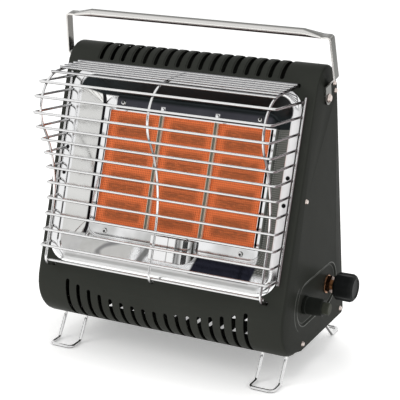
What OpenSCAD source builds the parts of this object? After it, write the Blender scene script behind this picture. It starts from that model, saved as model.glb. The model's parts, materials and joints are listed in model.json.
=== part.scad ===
// Portable radiant gas heater: a leaning sheet-steel case with a bright reflector pan, three ceramic
// burner plaques, a bulging wire guard, a folding handle, wire feet, a gas tap and a piezo button.
// X runs to the right seen from the front, Y to the back, Z up. The origin lies on the ground under
// the middle of the case's base.

/* [Case] */
// Width of the case
case_w = 320; // [300:5:350]
// Depth of the case at its base
case_d = 215; // [205:5:230]
// Height of the case from its base to the top of its round back
case_h = 324; // [315:0.5:340]
// Height of the base above the ground
foot_h = 34.5; // [28:0.5:45]
// Lean of the front face from upright, in degrees
front_lean = 18.3; // [17:0.1:19.5]
// Lean of the rear face from upright, in degrees
rear_lean = 10.3; // [9.5:0.1:11.5]
// Radius of the round under the front face
bottom_r = 48; // [40:1:52]
// Radius of the rear bottom corner
rear_r = 6; // [4:0.5:9]
// Radius of the soft edges between the front and the sides
side_r = 7; // [5:0.5:14]
// Thickness of the case's steel sheet
case_t = 1.2; // [0.8:0.1:1.6]
// Where the bottom lip of the casing ends, behind the middle of its round
lip_len = 11; // [8:0.5:16]

/* [Vent slots] */
// Number of slots in each row
slot_n = 17; // [9:2:19]
// Distance between neighbouring slots
slot_pitch = 14.5; // [12:0.5:15]
// Width of a slot
slot_w = 5; // [3:0.5:6]
// Depth of the pressed edge round the top slots
slot_press = 0.7; // [0.4:0.1:0.8]
// Width of the pressed edge beside a top slot
slot_edge = 1.6; // [1:0.1:2.5]
// How much later the middle slots of the lower row begin, in degrees round the bend
slot_dip = 24; // [0:1:30]

/* [Reflector] */
// Side margin between the case and the reflector's rim
rim_side_gap = 12.5; // [10:0.5:20]
// Gap from the bottom round to the lower edge of the rim
rim_low_gap = 16.2; // [10:0.5:20]
// Gap from the upper edge of the rim to the top round
rim_high_gap = 2.8; // [2:0.1:10]
// Width of the rim at the sides
rim_side_w = 10.5; // [9:0.5:12]
// Width of the rim at the top and bottom
rim_end_w = 7.5; // [6:0.5:10]
// Corner radius of the rim
rim_r = 26; // [20:1:32]
// Depth of the pan behind the front face
pan_depth = 25; // [20:1:30]
// Margin of the pan floor round the burner frame
floor_margin = 2.5; // [1:0.5:5]
// Thickness of the reflector's sheet
pan_t = 0.8; // [0.6:0.1:1.2]
// Diameter of the holes in the rim
rim_hole_d = 5; // [3:0.5:6]
// Distance between the two rim holes of a side
rim_hole_pitch = 30.5; // [20:0.5:50]

/* [Burner] */
// Width of the window in front of each plaque
window_w = 66; // [60:1:68]
// Height of the windows
window_h = 134; // [120:1:140]
// Width of the dividers between the windows
divider_w = 5; // [4:0.5:7]
// How far the burner lies above the middle of the reflector
burner_up = 3; // [0:0.5:6]
// Width of the frame's border at the sides
frame_side_w = 8.5; // [7:0.5:10]
// Width of the frame's border at the top and bottom
frame_end_w = 16; // [14:0.5:18]
// Thickness of the frame's sheet
frame_t = 1; // [0.8:0.1:1.4]
// Height of the frame's lip on the plaques
frame_lip = 1.3; // [0.8:0.1:2]
// Thickness of a plaque
plaque_t = 13; // [10:0.5:15]
// Gap between neighbouring plaques
plaque_gap = 1.5; // [1:0.1:2.5]
// Width of the sealing gasket round the plaques
gasket_w = 3; // [2:0.5:4]
// Depth of the plenum behind the plaques
plenum_depth = 20; // [14:1:24]
// Thickness of the plenum's sheet
plenum_t = 1; // [0.8:0.1:1.5]
// Diameter of the frame screws' heads
frame_screw_head = 7; // [6:0.5:8]
// Sideways distance of the frame screws from the middle
frame_screw_x = 89; // [80:1:95]

/* [Gas line] */
// Outer diameter of the mixer tube
mixer_d = 22; // [18:1:24]
// Length of the mixer tube
mixer_len = 168; // [140:1:175]
// Outer diameter of the gas pipes
pipe_d = 8; // [6:0.5:9]
// Bend radius of the gas pipe
pipe_bend = 10; // [8:0.5:14]
// Diameter of the plain end of the hose tail
hose_tail_d = 10; // [8:0.5:12]
// Length of the plain end of the hose tail
hose_tail_len = 12; // [10:0.5:18]

/* [Controls] */
// Height of the control axes above the base
control_up = 54.5; // [48:0.5:58]
// Distance of the tap axis behind the middle of the base
tap_y = 52; // [44:1:54]
// Distance between the tap axis and the igniter axis
control_gap = 70; // [60:1:74]
// Depth of the recess round the controls
recess_depth = 1.8; // [1:0.1:3]
// Radius of the recess ends at its floor
recess_r = 23; // [21:0.5:25]
// How much wider the recess is at the case's face
recess_slope = 3.5; // [1:0.5:4]
// How much lower the igniter's axis lies than the tap's
igniter_drop = 1.5; // [0:0.5:4]
// Diameter of the tap's threaded neck
neck_d = 12; // [11:0.5:14]
// Diameter of the tap's stem
stem_d = 8; // [6:0.5:9]
// Diameter of the tap's body
tap_d = 26; // [24:1:30]
// Length of the tap's body
tap_len = 34; // [30:1:40]
// Push travel of the knob
knob_travel = 3.5; // [2:0.5:4]
// Outer diameter of the knob
knob_d = 35; // [28:1:36]
// Length of the knob
knob_len = 24.5; // [18:0.5:26]
// Number of lobes of the knob
knob_lobes = 8; // [6:1:10]
// Gap between the case side and the knob
knob_gap = 10; // [10:0.5:14]
// Outer diameter of the igniter's collar
collar_d = 21; // [19:0.5:23]
// Reach of the igniter's collar outside the case side
collar_out = 13.5; // [8:0.5:14]
// Outer diameter of the sleeve in front of the collar
sleeve_d = 17; // [16.5:0.5:18]
// Length of the sleeve
sleeve_len = 8; // [4:0.5:9]
// Diameter of the igniter button
button_d = 14; // [12:0.5:15]
// Reach of the button past its sleeve
button_out = 7.5; // [6.5:0.5:8]
// Travel of the button
button_travel = 6; // [4:0.5:6]
// Radial gap of a shaft in its bearing
running_gap = 0.05; // [0.02:0.01:0.1]
// Gap between pieces that rest on each other
seat_gap = 0.3; // [0.2:0.05:0.4]

/* [Wire guard] */
// Diameter of the guard's wire
wire_d = 3; // [2.5:0.1:3.5]
// Distance of the straight lower bars in front of the case
guard_n = 22.6; // [18:0.2:26]
// How far the swell of the guard begins above the rim's lower edge
swell_up = 53; // [45:1:60]
// Radius of the guard's upper swell
swell_r = 43; // [38:0.5:46]
// Height of the swell's middle above the base
swell_z = 263.5; // [255:0.5:270]
// Distance of the swell's middle in front of the middle of the base
swell_y = 61; // [58:0.5:66]
// Distance between neighbouring bars along the guard
bar_pitch = 18.7; // [17:0.1:19.5]
// Number of bars with bent ends
bent_n = 12; // [10:1:12]
// Number of straight bars above them
straight_n = 2; // [1:1:2]
// Distance between the close bars at the top
close_pitch = 10; // [7:0.5:11]
// Number of close bars at the top
close_n = 4; // [3:1:4]
// Distance from the end of the swell to the last close bar
close_end = 46; // [42:0.5:48]
// Side distance of the outer uprights from the middle
upright_x = 138; // [132:0.5:140]
// Side distance of the bars' bent ends from the middle
bar_x = 147; // [144:0.5:148]
// Drop of the side returns towards the case, in degrees
return_drop = 5.5; // [2:0.5:10]
// Bend radius of the bars' ends
bar_bend = 4; // [3:0.5:5]
// Distance of the side wires in front of the case
side_wire_n = 2; // [1.8:0.1:4]
// Bend radius of the uprights' lower ends
hook_bend = 10; // [8:0.5:12]
// Height of the lower hooks under the reflector's rim
hook_down = 5; // [4:0.5:6]
// How far a welded wire sinks into the next one
weld = 0.4; // [0.2:0.1:0.8]

/* [Handle] */
// How far behind the middle of the case's round top the pivots lie
pivot_back = 1.6; // [0:0.1:4]
// Distance of the pivots below the top of the case
pivot_drop = 37.5; // [34:0.5:45]
// Distance from the pivot to the middle of the grip tube
handle_len = 75; // [72:1:80]
// Forward tilt of the handle at rest, in degrees
handle_tilt = 10.6; // [0:0.1:20]
// Diameter of the grip tube
grip_d = 9.6; // [8:0.1:12]
// How far the grip's middle lies above the flat ends of the strap
grip_up = 2.2; // [0:0.1:3]
// Length over which the strap rolls up into the grip
roll_len = 22; // [16:1:26]
// Width of the handle's strap
strap_w = 12; // [11:0.5:14]
// Thickness of the handle's strap
strap_t = 2; // [1.5:0.1:2.5]
// Width of the handle's lugs
lug_w = 15.5; // [14:0.5:18]
// How far the handle's corners stand out past the sides of the case
corner_out = 8; // [6:0.5:12]
// Inward lean of the straps, in degrees
strap_lean = 4.5; // [0:0.5:6]
// Diameter of the pivot rivet's shank
rivet_d = 6; // [5:0.5:7]
// Diameter of the pivot rivet's head
rivet_head = 11; // [9:0.5:12]

/* [Feet] */
// Diameter of the foot wire
foot_wire = 4; // [3:0.5:5]
// Distance of a foot's outer leg from the side of the case
foot_in = 12.2; // [10:0.1:20]
// Width of a foot between the middles of its legs
foot_w = 29.4; // [24:0.2:34]
// Distance of the front feet's legs behind the front end of the case
front_leg_in = 63.9; // [60:0.1:68]
// Distance of the rear feet's legs before the rear end of the case
rear_leg_in = 32.5; // [28:0.5:38]
// Forward reach of the front legs down to the ground
front_reach = 16.4; // [12:0.2:22]
// Backward reach of the rear legs down to the ground
rear_reach = 30; // [24:1:34]
// Length of the front feet on the ground
front_run = 20; // [14:0.5:26]
// Length of the rear feet on the ground
rear_run = 22; // [14:0.5:26]
// Bend radius of the feet
foot_bend = 6; // [5:0.5:8]

/* [Fasteners] */
// Head diameter of the side and rear screws
screw_head = 6.5; // [6:0.1:7]
// Shank diameter of the side and rear screws
screw_d = 3.5; // [3:0.1:4]
// Height of the screw heads
screw_head_h = 2.2; // [1.6:0.1:2.6]

/* [Hidden] */
$fn = 48;
hull_fn = 32;
cut = 1; // how far a cutting shape runs past a face
sliver = 0.01; // thickness of the slices that a hull joins
swage = 0.04; // how much thicker a bend is than its wire
nip = 0.2; // how far a straight wire runs into a bend

// Colours
paint = [0.22, 0.23, 0.20];
bright = [0.86, 0.87, 0.88];
zinc = [0.62, 0.63, 0.62];
brass = [0.80, 0.62, 0.30];
black = [0.08, 0.08, 0.08];
ceramic = [0.86, 0.42, 0.22];

// Angles round the bends between which the slots run
top_slot = [60, 144];
low_slot = [169, 240];

// Case profile: a front and a rear plane joined by a round top, with a round bottom front
edge_steps = 4;
bottom_steps = 12;
top_steps = 16;
lean_t = tan(front_lean) + tan(rear_lean);
lean_k = 1 / cos(front_lean) + 1 / cos(rear_lean);
top_r = (case_d / lean_t - case_h) / (lean_k / lean_t - 1);
top_z = foot_h + case_h - top_r;
top_y = front_y(top_z) + top_r / cos(front_lean);
bottom_z = foot_h + bottom_r;
bottom_y = front_y(bottom_z) + bottom_r / cos(front_lean);
lip_y = bottom_y + lip_len;
rear_c = [rear_y(foot_h + rear_r) - rear_r / cos(rear_lean), foot_h + rear_r];
front_lo = front_v(bottom_z + bottom_r * sin(front_lean));
front_hi = front_v(top_z + top_r * sin(front_lean));
wall_in = case_w / 2 - case_t;
function front_y(z) = -case_d / 2 + (z - foot_h) * tan(front_lean);
function rear_y(z) = case_d / 2 - (z - foot_h) * tan(rear_lean);
// Height along the front face of a point at height z on it
function front_v(z) = z / cos(front_lean);
// World point of a place (x, v, n) on the front face: v up the slope, n out of the face
function on_face(p) = [
    p.x,
    front_y(0) + p.y * sin(front_lean) - p.z * cos(front_lean),
    p.y * cos(front_lean) + p.z * sin(front_lean)
];

// Reflector and burner, in the front face's own frame
rim_half = case_w / 2 - rim_side_gap;
rim_lo = front_lo + rim_low_gap;
rim_hi = front_hi - rim_high_gap;
rim_v = (rim_lo + rim_hi) / 2;
mouth_half = rim_half - rim_side_w;
mouth_lo = rim_lo + rim_end_w;
mouth_hi = rim_hi - rim_end_w;
mouth_r = rim_r - rim_end_w;
rim_n = seat_gap + pan_t;
burner_v = rim_v + burner_up;
windows_w = 3 * window_w + 2 * divider_w;
frame_half = windows_w / 2 + frame_side_w;
frame_vhalf = window_h / 2 + frame_end_w;
floor_half = frame_half + floor_margin;
floor_vhalf = frame_vhalf + floor_margin;
frame_n = -pan_depth + seat_gap;
plaque_n = frame_n - frame_lip - seat_gap;
plaque_w = window_w + divider_w - plaque_gap;
plaque_h = window_h + 4;
array_half = 1.5 * plaque_w + plaque_gap;
array_vhalf = plaque_h / 2;
box_half = array_half + gasket_w + 2 * seat_gap;
box_vhalf = array_vhalf + gasket_w + 2 * seat_gap;
box_n = -pan_depth - pan_t - seat_gap;
plaque_back = plaque_n - plaque_t;
ledge = 5;
plenum_n = plaque_back - seat_gap - plenum_t - plenum_depth;
frame_screw_v = window_h / 2 + frame_end_w * 0.62;

// Mixer tube under the plenum
mixer_v = burner_v - box_vhalf - mixer_d / 2 - 14;
mixer_n = plaque_back - mixer_d / 2 - 1;
mixer_x = -70;
mixer_end = mixer_x + mixer_len;
jet_d = 10;
mixer_axis = on_face([0, mixer_v, mixer_n]);

// Controls
control_z = foot_h + control_up;
igniter_y = tap_y - control_gap;
igniter_z = control_z - igniter_drop;
recess_x = case_w / 2 - recess_depth;
recess_in = recess_x - case_t;
knob_x = case_w / 2 + knob_gap;
neck_end = recess_x + 9;
tap_x1 = recess_in - seat_gap;
tap_x0 = tap_x1 - tap_len;
cavity_d = tap_d - 6;
cavity_len = tap_len - 8;
cavity_x0 = tap_x0;
rotor_len = cavity_len - 4;
rotor_x0 = cavity_x0 + 3;
stem_x0 = rotor_x0 + rotor_len - 8;
nut_flats = 19;
nut_t = 5;
washer_t = 1.2;
barrel_d = 16;
barrel_len = 46;
collar_x = recess_x + seat_gap;
collar_end = case_w / 2 + collar_out;
sleeve_end = collar_end + sleeve_len;
button_end = sleeve_end + button_out;
button_in = 15; // how far the button runs into its sleeve
rib_n = 24;

// Wire guard, in the front face's own frame
swell_c = [
    (front_y(0) * -1 - swell_y) * sin(front_lean) + (foot_h + swell_z) * cos(front_lean),
    -(front_y(0) * -1 - swell_y) * cos(front_lean) + (foot_h + swell_z) * sin(front_lean)
];
flare_v = rim_lo + swell_up;
flare_run = swell_c.x - flare_v;
flare_rise = guard_n - swell_c.y;
flare_r = (flare_run * flare_run + flare_rise * flare_rise - swell_r * swell_r)
    / (2 * (swell_r - flare_rise));
flare_c = [flare_v, guard_n + flare_r];
flare_turn = atan2(flare_run, flare_c.y - swell_c.y);
swell_turn = 90 + flare_turn - front_lean;
bar_lo = rim_lo + 16;
wire_lap = wire_d - weld;
upright_n = guard_n - wire_lap;
hook_v = rim_lo - hook_down;
hook_c = [hook_v + hook_bend, upright_n - hook_bend];
straight_len = flare_v - bar_lo;
flare_len = flare_r * flare_turn * PI / 180;
swell_len = swell_r * swell_turn * PI / 180;
return_tilt = front_lean - return_drop;
side_wire_x = bar_x + wire_lap;
hook_in = 7;
// Place (v, n) of a bar at the length s along the guard's curve
function guard_at(s) =
    s <= straight_len ? [bar_lo + s, guard_n]
    : s <= straight_len + flare_len ?
        flare_c + flare_r * turned(-90 + (s - straight_len) / flare_r * 180 / PI)
    : s <= straight_len + flare_len + swell_len ?
        swell_c + swell_r * turned(90 + flare_turn - (s - straight_len - flare_len) / swell_r * 180 / PI)
    : swell_c + swell_r * turned(front_lean)
        + (s - straight_len - flare_len - swell_len) * turned(front_lean - 90);
function turned(a) = [cos(a), sin(a)];
bent_s = [for (i = [0:bent_n - 1]) i * bar_pitch];
straight_s = [for (i = [0:straight_n - 1]) (bent_n + i) * bar_pitch];
close_s = [
    for (i = [0:close_n - 1])
        straight_len + flare_len + swell_len + close_end - i * close_pitch
];
last_bent = guard_at((bent_n - 1) * bar_pitch);

// Handle
pivot_y = top_y + pivot_back;
pivot_z = foot_h + case_h - pivot_drop;
corner_x = case_w / 2 + corner_out;
lug_x = case_w / 2 + seat_gap;
flat_z = handle_len - grip_up; // height of the strap's flat ends above the pivot
strap_bend = 3; // bend radius of the strap's corners
flat_end = corner_x - 11; // where the strap begins to roll up into the grip
grip_half = flat_end - roll_len;
step_lo = 15; // where the strap leaves the plane of its lug
step_hi = 25; // where it has its full width between the straps
corner_c = [corner_x - strap_bend, flat_z - strap_bend];
strap_top = corner_c + strap_bend * turned(strap_lean);
strap_x = strap_top.x + (strap_top.y - step_hi) * tan(strap_lean);

// Fasteners in the sides: y, z
side_screw_at = [
    [-25.6, foot_h + 7.5],
    [case_d / 2 - 11.5, foot_h + 7.5],
    [-29, foot_h + 179.5],
    [top_y, top_z] + (top_r - 8.2) * turned(17.9),
    [top_y, top_z] + (top_r - 4.2) * turned(-5.6)
];
bracket_edge = 9; // from the pivot to the edges of its bracket
flange_h = 15;
bracket_t = 2;
rear_lip = 9;
cover_t = 1;
cover_gap = 3;

// Straight wire from a to b
module rod(a, b, d) {
    u = (b - a) / norm(b - a);
    translate(a) rotate([0, acos(u.z), atan2(u.y, u.x)]) cylinder(h = norm(b - a), d = d);
}

// Length of a straight that the bend at b takes, between a and c
function bend_cut(a, b, c, r) =
    r * tan(acos((b - a) * (c - b) / norm(b - a) / norm(c - b)) / 2);

// Round bend of radius r at b, on the way from a to c, a hair thicker than the wire
module bend(a, b, c, r, d) {
    u = (b - a) / norm(b - a);
    w = (c - b) / norm(c - b);
    n = (w - (u * w) * u) / norm(w - (u * w) * u);
    z = cross(-n, u);
    o = b - bend_cut(a, b, c, r) * u + r * n;
    multmatrix([
        [-n.x, u.x, z.x, o.x],
        [-n.y, u.y, z.y, o.y],
        [-n.z, u.z, z.z, o.z],
        [0, 0, 0, 1]
    ])
        rotate_extrude(angle = acos(u * w)) translate([r, 0]) circle(d = d + swage);
}

// Wire or pipe through points, with round bends
module bent_wire(pts, r, d) {
    last = len(pts) - 1;
    for (i = [0:last - 1]) {
        a = pts[i];
        b = pts[i + 1];
        u = (b - a) / norm(b - a);
        lead = i > 0 ? bend_cut(pts[i - 1], a, b, r) - nip : 0;
        tail = i + 1 < last ? bend_cut(a, b, pts[i + 2], r) - nip : 0;
        rod(a + lead * u, b - tail * u, d);
        if (i + 1 < last) bend(a, b, pts[i + 2], r, d);
    }
}

// Profile in the YZ plane, drawn out along X from x0 to x1
module along_x(x0, x1) {
    translate([x0, 0, 0]) rotate([90, 0, 90]) linear_extrude(x1 - x0) children();
}

// Cylinder along X from x0 to x1
module bar_x_axis(x0, x1, d) {
    translate([x0, 0, 0]) rotate([0, 90, 0]) cylinder(h = x1 - x0, d = d);
}

// Places its children in the front face's frame: x, v up the slope, n out of the face
module on_front() {
    translate([0, front_y(0), 0]) rotate([90 - front_lean, 0, 0]) children();
}

// Places its children in the rear face's frame: x to the left, v up the slope, n out of the face
module on_rear() {
    translate([0, rear_y(0), 0]) rotate([90 - rear_lean, 0, 180]) children();
}

module both_sides() {
    children();
    mirror([1, 0, 0]) children();
}

// Rectangle with rounded corners from (x0, y0) to (x1, y1)
module round_rect(x0, y0, x1, y1, r) {
    translate([x0 + r, y0]) square([x1 - x0 - 2 * r, y1 - y0]);
    translate([x0, y0 + r]) square([x1 - x0, y1 - y0 - 2 * r]);
    for (x = [x0 + r, x1 - r], y = [y0 + r, y1 - r])
        translate([x, y]) circle(r = r);
}

// Points on an arc about c from angle a0 to a1, in n steps
function arc_points(c, r, a0, a1, n) = [for (i = [0:n]) c + r * turned(a0 + (a1 - a0) * i / n)];

// Outline of the case at x, t inside its skin and a further d inside at the front and top
function case_ring(x, d, t) =
    let (
        low = arc_points([bottom_y, bottom_z], bottom_r - t - d, 180 - front_lean, 270, bottom_steps),
        corner = arc_points(rear_c, rear_r - t, 270, 360 + rear_lean, 4),
        rear_top = [top_y, top_z] + (top_r - t) * turned(rear_lean),
        sweep = 180 - front_lean - rear_lean,
        high = arc_points([top_y, top_z], top_r - t - d, rear_lean + sweep / top_steps, 180 - front_lean,
            top_steps - 1)
    )
    [for (p = concat(low, [[lip_y, foot_h + t]], corner, [rear_top], high)) [x, p.x, p.y]];

// Closed skin over rings of equally many points, from low x to high x
module skin(rings) {
    n = len(rings[0]);
    m = len(rings);
    polyhedron(
        points = [for (ring = rings) each ring],
        faces = concat(
            [[for (i = [0:n - 1]) i], [for (i = [n - 1:-1:0]) (m - 1) * n + i]],
            [
                for (j = [0:m - 2], i = [0:n - 1])
                    let (a = j * n + i, b = j * n + (i + 1) % n)
                    each [[a, b + n, b], [a, a + n, b + n]]
            ]
        )
    );
}

// The case as a solid with soft side edges, t inside its skin
module case_solid(t) {
    r = side_r - t;
    half = case_w / 2 - side_r;
    turns = [for (i = [0:edge_steps]) 90 * i / edge_steps];
    skin(concat(
        [for (i = [edge_steps:-1:0]) case_ring(-half - r * sin(turns[i]), r * (1 - cos(turns[i])), t)],
        [for (a = turns) case_ring(half + r * sin(a), r * (1 - cos(a)), t)]
    ));
}

// Slot of width w cut into a round wall about X, from radius deep out past r, from angle a0 to a1
module round_slot(r, a0, a1, w, deep) {
    reach = r + cut;
    steps = ceil((a1 - a0) / 10);
    step = (a1 - a0) / steps;
    far = reach / cos(step / 2);
    along_x(-w / 2, w / 2)
        polygon(concat(
            [for (i = [0:steps]) far * turned(a0 + i * step)],
            [for (i = [steps:-1:0]) deep * turned(a0 + i * step)]
        ));
    for (a = [a0, a1])
        rotate([a, 0, 0]) translate([0, deep, 0]) rotate([-90, 0, 0])
            cylinder(h = reach - deep, d = w - sliver);
}

module vent_slots() {
    through = 2 * case_t + cut;
    for (i = [0:slot_n - 1]) translate([(i - (slot_n - 1) / 2) * slot_pitch, 0, 0]) {
        side = 2 * i / (slot_n - 1) - 1;
        translate([0, top_y, top_z]) {
            round_slot(top_r, top_slot[0], top_slot[1], slot_w, top_r - through);
            round_slot(top_r, top_slot[0], top_slot[1], slot_w + 2 * slot_edge, top_r - slot_press);
        }
        translate([0, bottom_y, bottom_z]) round_slot(
            bottom_r, low_slot[0] + slot_dip * (1 - side * side), low_slot[1], slot_w, bottom_r - through);
    }
}

module recess_outline(r) {
    translate([igniter_y, control_z - r]) square([control_gap, 2 * r]);
    for (y = [igniter_y, tap_y]) translate([y, control_z]) circle(r = r, $fn = 64);
}

// Hollow of the recess, wider towards the case's face
module recess_cut() {
    deep = recess_depth + cut;
    wide = recess_r + recess_slope * deep / recess_depth;
    translate([0, tap_y, control_z]) rotate([90, 0, 0]) linear_extrude(control_gap) polygon([
        [recess_x, -recess_r], [recess_x + deep, -wide], [recess_x + deep, wide], [recess_x, recess_r]
    ]);
    for (y = [igniter_y, tap_y]) translate([recess_x, y, control_z]) rotate([0, 90, 0])
        cylinder(h = deep, r1 = recess_r, r2 = wide, $fn = 64);
}

module front_casing() {
    color(paint) difference() {
        union() {
            difference() {
                case_solid(0);
                case_solid(case_t);
            }
            along_x(recess_in, wall_in + case_t / 2) recess_outline(recess_r + recess_slope);
        }
        recess_cut();
        // Bottom opening for the base plate
        translate([-wall_in, lip_y, foot_h - cut])
            cube([2 * wall_in, base_back - lip_y, case_t + rear_r]);
        // Rear opening for the cover
        on_rear() linear_extrude(3 * case_t, center = true) round_rect(
            -wall_in + rear_lip, cover_lo + rear_lip, wall_in - rear_lip, cover_hi - rear_lip, rear_r);
        // Mouth for the reflector
        on_front() linear_extrude(4 * case_t, center = true) round_rect(
            -mouth_half - cut, mouth_lo - cut, mouth_half + cut, mouth_hi + cut, mouth_r);
        vent_slots();
        // Guard hooks
        for (s = [-1, 1]) {
            on_front() translate([s * upright_x, hook_v, -3 * case_t])
                cylinder(h = 6 * case_t, d = wire_d + 2 * seat_gap + 1);
            translate([s * upright_x, front_y(top_hook_z) - 6, top_hook_z]) rotate([-90, 0, 0])
                cylinder(h = 16, d = wire_d + 2 * seat_gap + 1);
            // Feet
            for (x = [foot_x, foot_x - foot_w])
                translate([s * x, -front_leg_y, foot_h - cut])
                    cylinder(h = 4 * case_t, d = foot_wire + 2 * seat_gap);
            // Side screws and handle rivets
            for (p = side_screw_at) screw_hole(s, p, screw_d);
            screw_hole(s, [pivot_y, pivot_z], rivet_d);
        }
        for (p = cover_screws) on_rear() translate([p.x, p.y, -3 * case_t])
            cylinder(h = 6 * case_t, d = screw_d + 2 * running_gap);
        translate([0, tap_y, control_z]) bar_x_axis(recess_in - cut, recess_x + cut, neck_d + 2 * running_gap);
        translate([0, igniter_y, igniter_z])
            bar_x_axis(recess_in - cut, recess_x + cut, barrel_d + 2 * running_gap);
    }
}

module screw_hole(s, p, d) {
    translate([s * case_w / 2, p.x, p.y]) rotate([0, 90, 0])
        cylinder(h = 6 * case_t, d = d + 2 * running_gap, center = true);
}

// Height of the upper guard hooks
top_hook_z = foot_h + swell_z + swell_r - wire_lap;
base_back = rear_y(foot_h) - rear_r - 1;
cover_lo = (foot_h + rear_r) / cos(rear_lean) - 2;
cover_hi = (top_z + top_r * sin(rear_lean)) / cos(rear_lean) - 2;
cover_screw_down = 11; // clear of the side screws
cover_slot_pitch = 16;
cover_slot_h = 50;
cover_slot_up = 62; // how far the lower field of slots begins above the cover's lower edge
cover_hole_d = 24;
cover_screws = [
    for (x = [-1, 1], v = [cover_lo + cover_gap + 3, cover_hi - cover_gap - cover_screw_down])
        [x * (wall_in - rear_lip / 2), v]
];

module rear_cover() {
    lo = cover_lo + 1;
    hi = cover_hi - 1;
    half = case_w / 2 - cover_gap;
    color(paint) on_rear() difference() {
        translate([0, 0, seat_gap]) linear_extrude(cover_t) round_rect(-half, lo, half, hi, rear_r);
        for (p = cover_screws) translate([p.x, p.y, 0]) cylinder(h = 3, d = screw_d + 2 * running_gap);
        // Two fields of vent slots
        for (i = [-7:7], v = [cover_lo + cover_slot_up, cover_hi - cover_slot_up - cover_slot_h])
            translate([i * cover_slot_pitch, v, 0]) linear_extrude(3 * cover_t)
                round_rect(-slot_w / 2, 0, slot_w / 2, cover_slot_h, slot_w / 2 - 0.1);
        // Way out of the hose tail
        translate([-inlet_x, control_z / cos(rear_lean), 0])
            cylinder(h = 6 * cover_t, d = cover_hole_d, center = true);
    }
}

module base_plate() {
    y0 = lip_y + seat_gap;
    y1 = base_back - seat_gap;
    half = wall_in - seat_gap;
    t = 1;
    color(paint) difference() {
        union() {
            translate([-half, y0, foot_h]) cube([2 * half, y1 - y0, t]);
            for (s = [-1, 1]) translate([s > 0 ? half - t : -half, y0, foot_h]) cube([t, y1 - y0, flange_h]);
            translate([-half, y0, foot_h]) cube([2 * half, t, flange_h / 2]);
            translate([-half, y1 - t, foot_h]) cube([2 * half, t, flange_h / 2]);
        }
        for (i = [-6:6], y = [y0 + 26, y0 + 62]) translate([i * 17, y, foot_h - cut])
            linear_extrude(4) round_rect(-3, -12, 3, 12, 2.9);
        for (s = [-1, 1]) {
            for (x = [foot_x, foot_x - foot_w]) translate([s * x, rear_leg_y, foot_h - cut])
                cylinder(h = 4, d = foot_wire + 2 * seat_gap);
            for (p = side_screw_at) screw_hole(s, p, screw_d);
        }
    }
}

// Solid of the reflector bowl: mouth outline down to the floor outline, grown by t
module bowl(t, top, floor_n) {
    hull() {
        translate([0, 0, top]) linear_extrude(sliver)
            round_rect(-mouth_half - t, mouth_lo - t, mouth_half + t, mouth_hi + t, mouth_r + t, $fn = hull_fn);
        translate([0, 0, floor_n]) linear_extrude(sliver)
            round_rect(-floor_half - t, burner_v - floor_vhalf - t, floor_half + t,
                burner_v + floor_vhalf + t, mouth_r + t, $fn = hull_fn);
    }
}

module reflector() {
    color(bright) on_front() difference() {
        union() {
            translate([0, 0, seat_gap]) linear_extrude(pan_t)
                round_rect(-rim_half, rim_lo, rim_half, rim_hi, rim_r);
            bowl(pan_t, seat_gap, -pan_depth - pan_t);
        }
        bowl(0, rim_n, -pan_depth);
        translate([0, 0, rim_n - sliver]) linear_extrude(pan_t)
            round_rect(-mouth_half, mouth_lo, mouth_half, mouth_hi, mouth_r);
        // Opening behind the burner
        translate([-array_half - seat_gap, burner_v - array_vhalf - seat_gap, -pan_depth - 2 * pan_t])
            cube([2 * (array_half + seat_gap), 2 * (array_vhalf + seat_gap), 3 * pan_t]);
        for (p = frame_screw_at) translate([p.x, p.y, -pan_depth - 2 * pan_t])
            cylinder(h = 3 * pan_t, d = screw_d + 2 * running_gap);
        // Holes in the rim
        for (s = [-1, 1], i = [0, 1])
            translate([s * (rim_half - rim_side_w / 2), rim_v + 18.5 - i * rim_hole_pitch, 0])
                cylinder(h = 3, d = rim_hole_d);
        for (x = pilot_x) translate([x, pilot_v, -pan_depth - 2 * pan_t])
            cylinder(h = pan_depth + 2 * pan_t, d = rod_d + 2 * seat_gap);
    }
}

nub_d = 5;
nub_h = 1.5;
nub_up = 7; // height of the nubs above the windows
frame_screw_at = [
    for (x = [-1, 1], v = [-1, 1]) [x * frame_screw_x, burner_v + v * frame_screw_v]
];

module windows(h, grow) {
    for (i = [-1:1]) translate([
        i * (window_w + divider_w) - window_w / 2 - grow, burner_v - window_h / 2 - grow, 0
    ])
        cube([window_w + 2 * grow, window_h + 2 * grow, h]);
}

module burner_frame() {
    color(bright) on_front() difference() {
        union() {
            translate([0, 0, frame_n]) linear_extrude(frame_t)
                round_rect(-frame_half, burner_v - frame_vhalf, frame_half, burner_v + frame_vhalf,
                    mouth_r - floor_margin);
            // Nubs over the ends of the dividers
            for (s = [-1, 1]) translate([
                s * (window_w + divider_w) / 2, burner_v + window_h / 2 + nub_up, frame_n + frame_t - sliver
            ])
                cylinder(h = nub_h, d1 = nub_d, d2 = nub_d - nub_h);
            translate([0, 0, frame_n - frame_lip]) windows(frame_lip + frame_t, 1);
            translate([0, 0, frame_n + frame_t / 2]) windows(frame_t / 2 + 1.2, 1.2);
        }
        translate([0, 0, frame_n - 5]) windows(10, 0);
        for (p = frame_screw_at) translate([p.x, p.y, frame_n - cut])
            cylinder(h = 4, d = screw_d + 2 * running_gap);
    }
}

module frame_screws() {
    color(zinc) on_front() for (p = frame_screw_at) translate([p.x, p.y, 0]) {
        translate([0, 0, frame_n + frame_t]) cylinder(h = 2, d1 = frame_screw_head, d2 = 4.5);
        translate([0, 0, box_n - plenum_t - 2]) cylinder(h = frame_n + frame_t - box_n + plenum_t + 2, d = screw_d);
    }
}

module plaques() {
    color(ceramic) on_front() for (i = [-1:1]) translate([
        i * (plaque_w + plaque_gap) - plaque_w / 2, burner_v - plaque_h / 2, plaque_back
    ])
        cube([plaque_w, plaque_h, plaque_t]);
}

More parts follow.
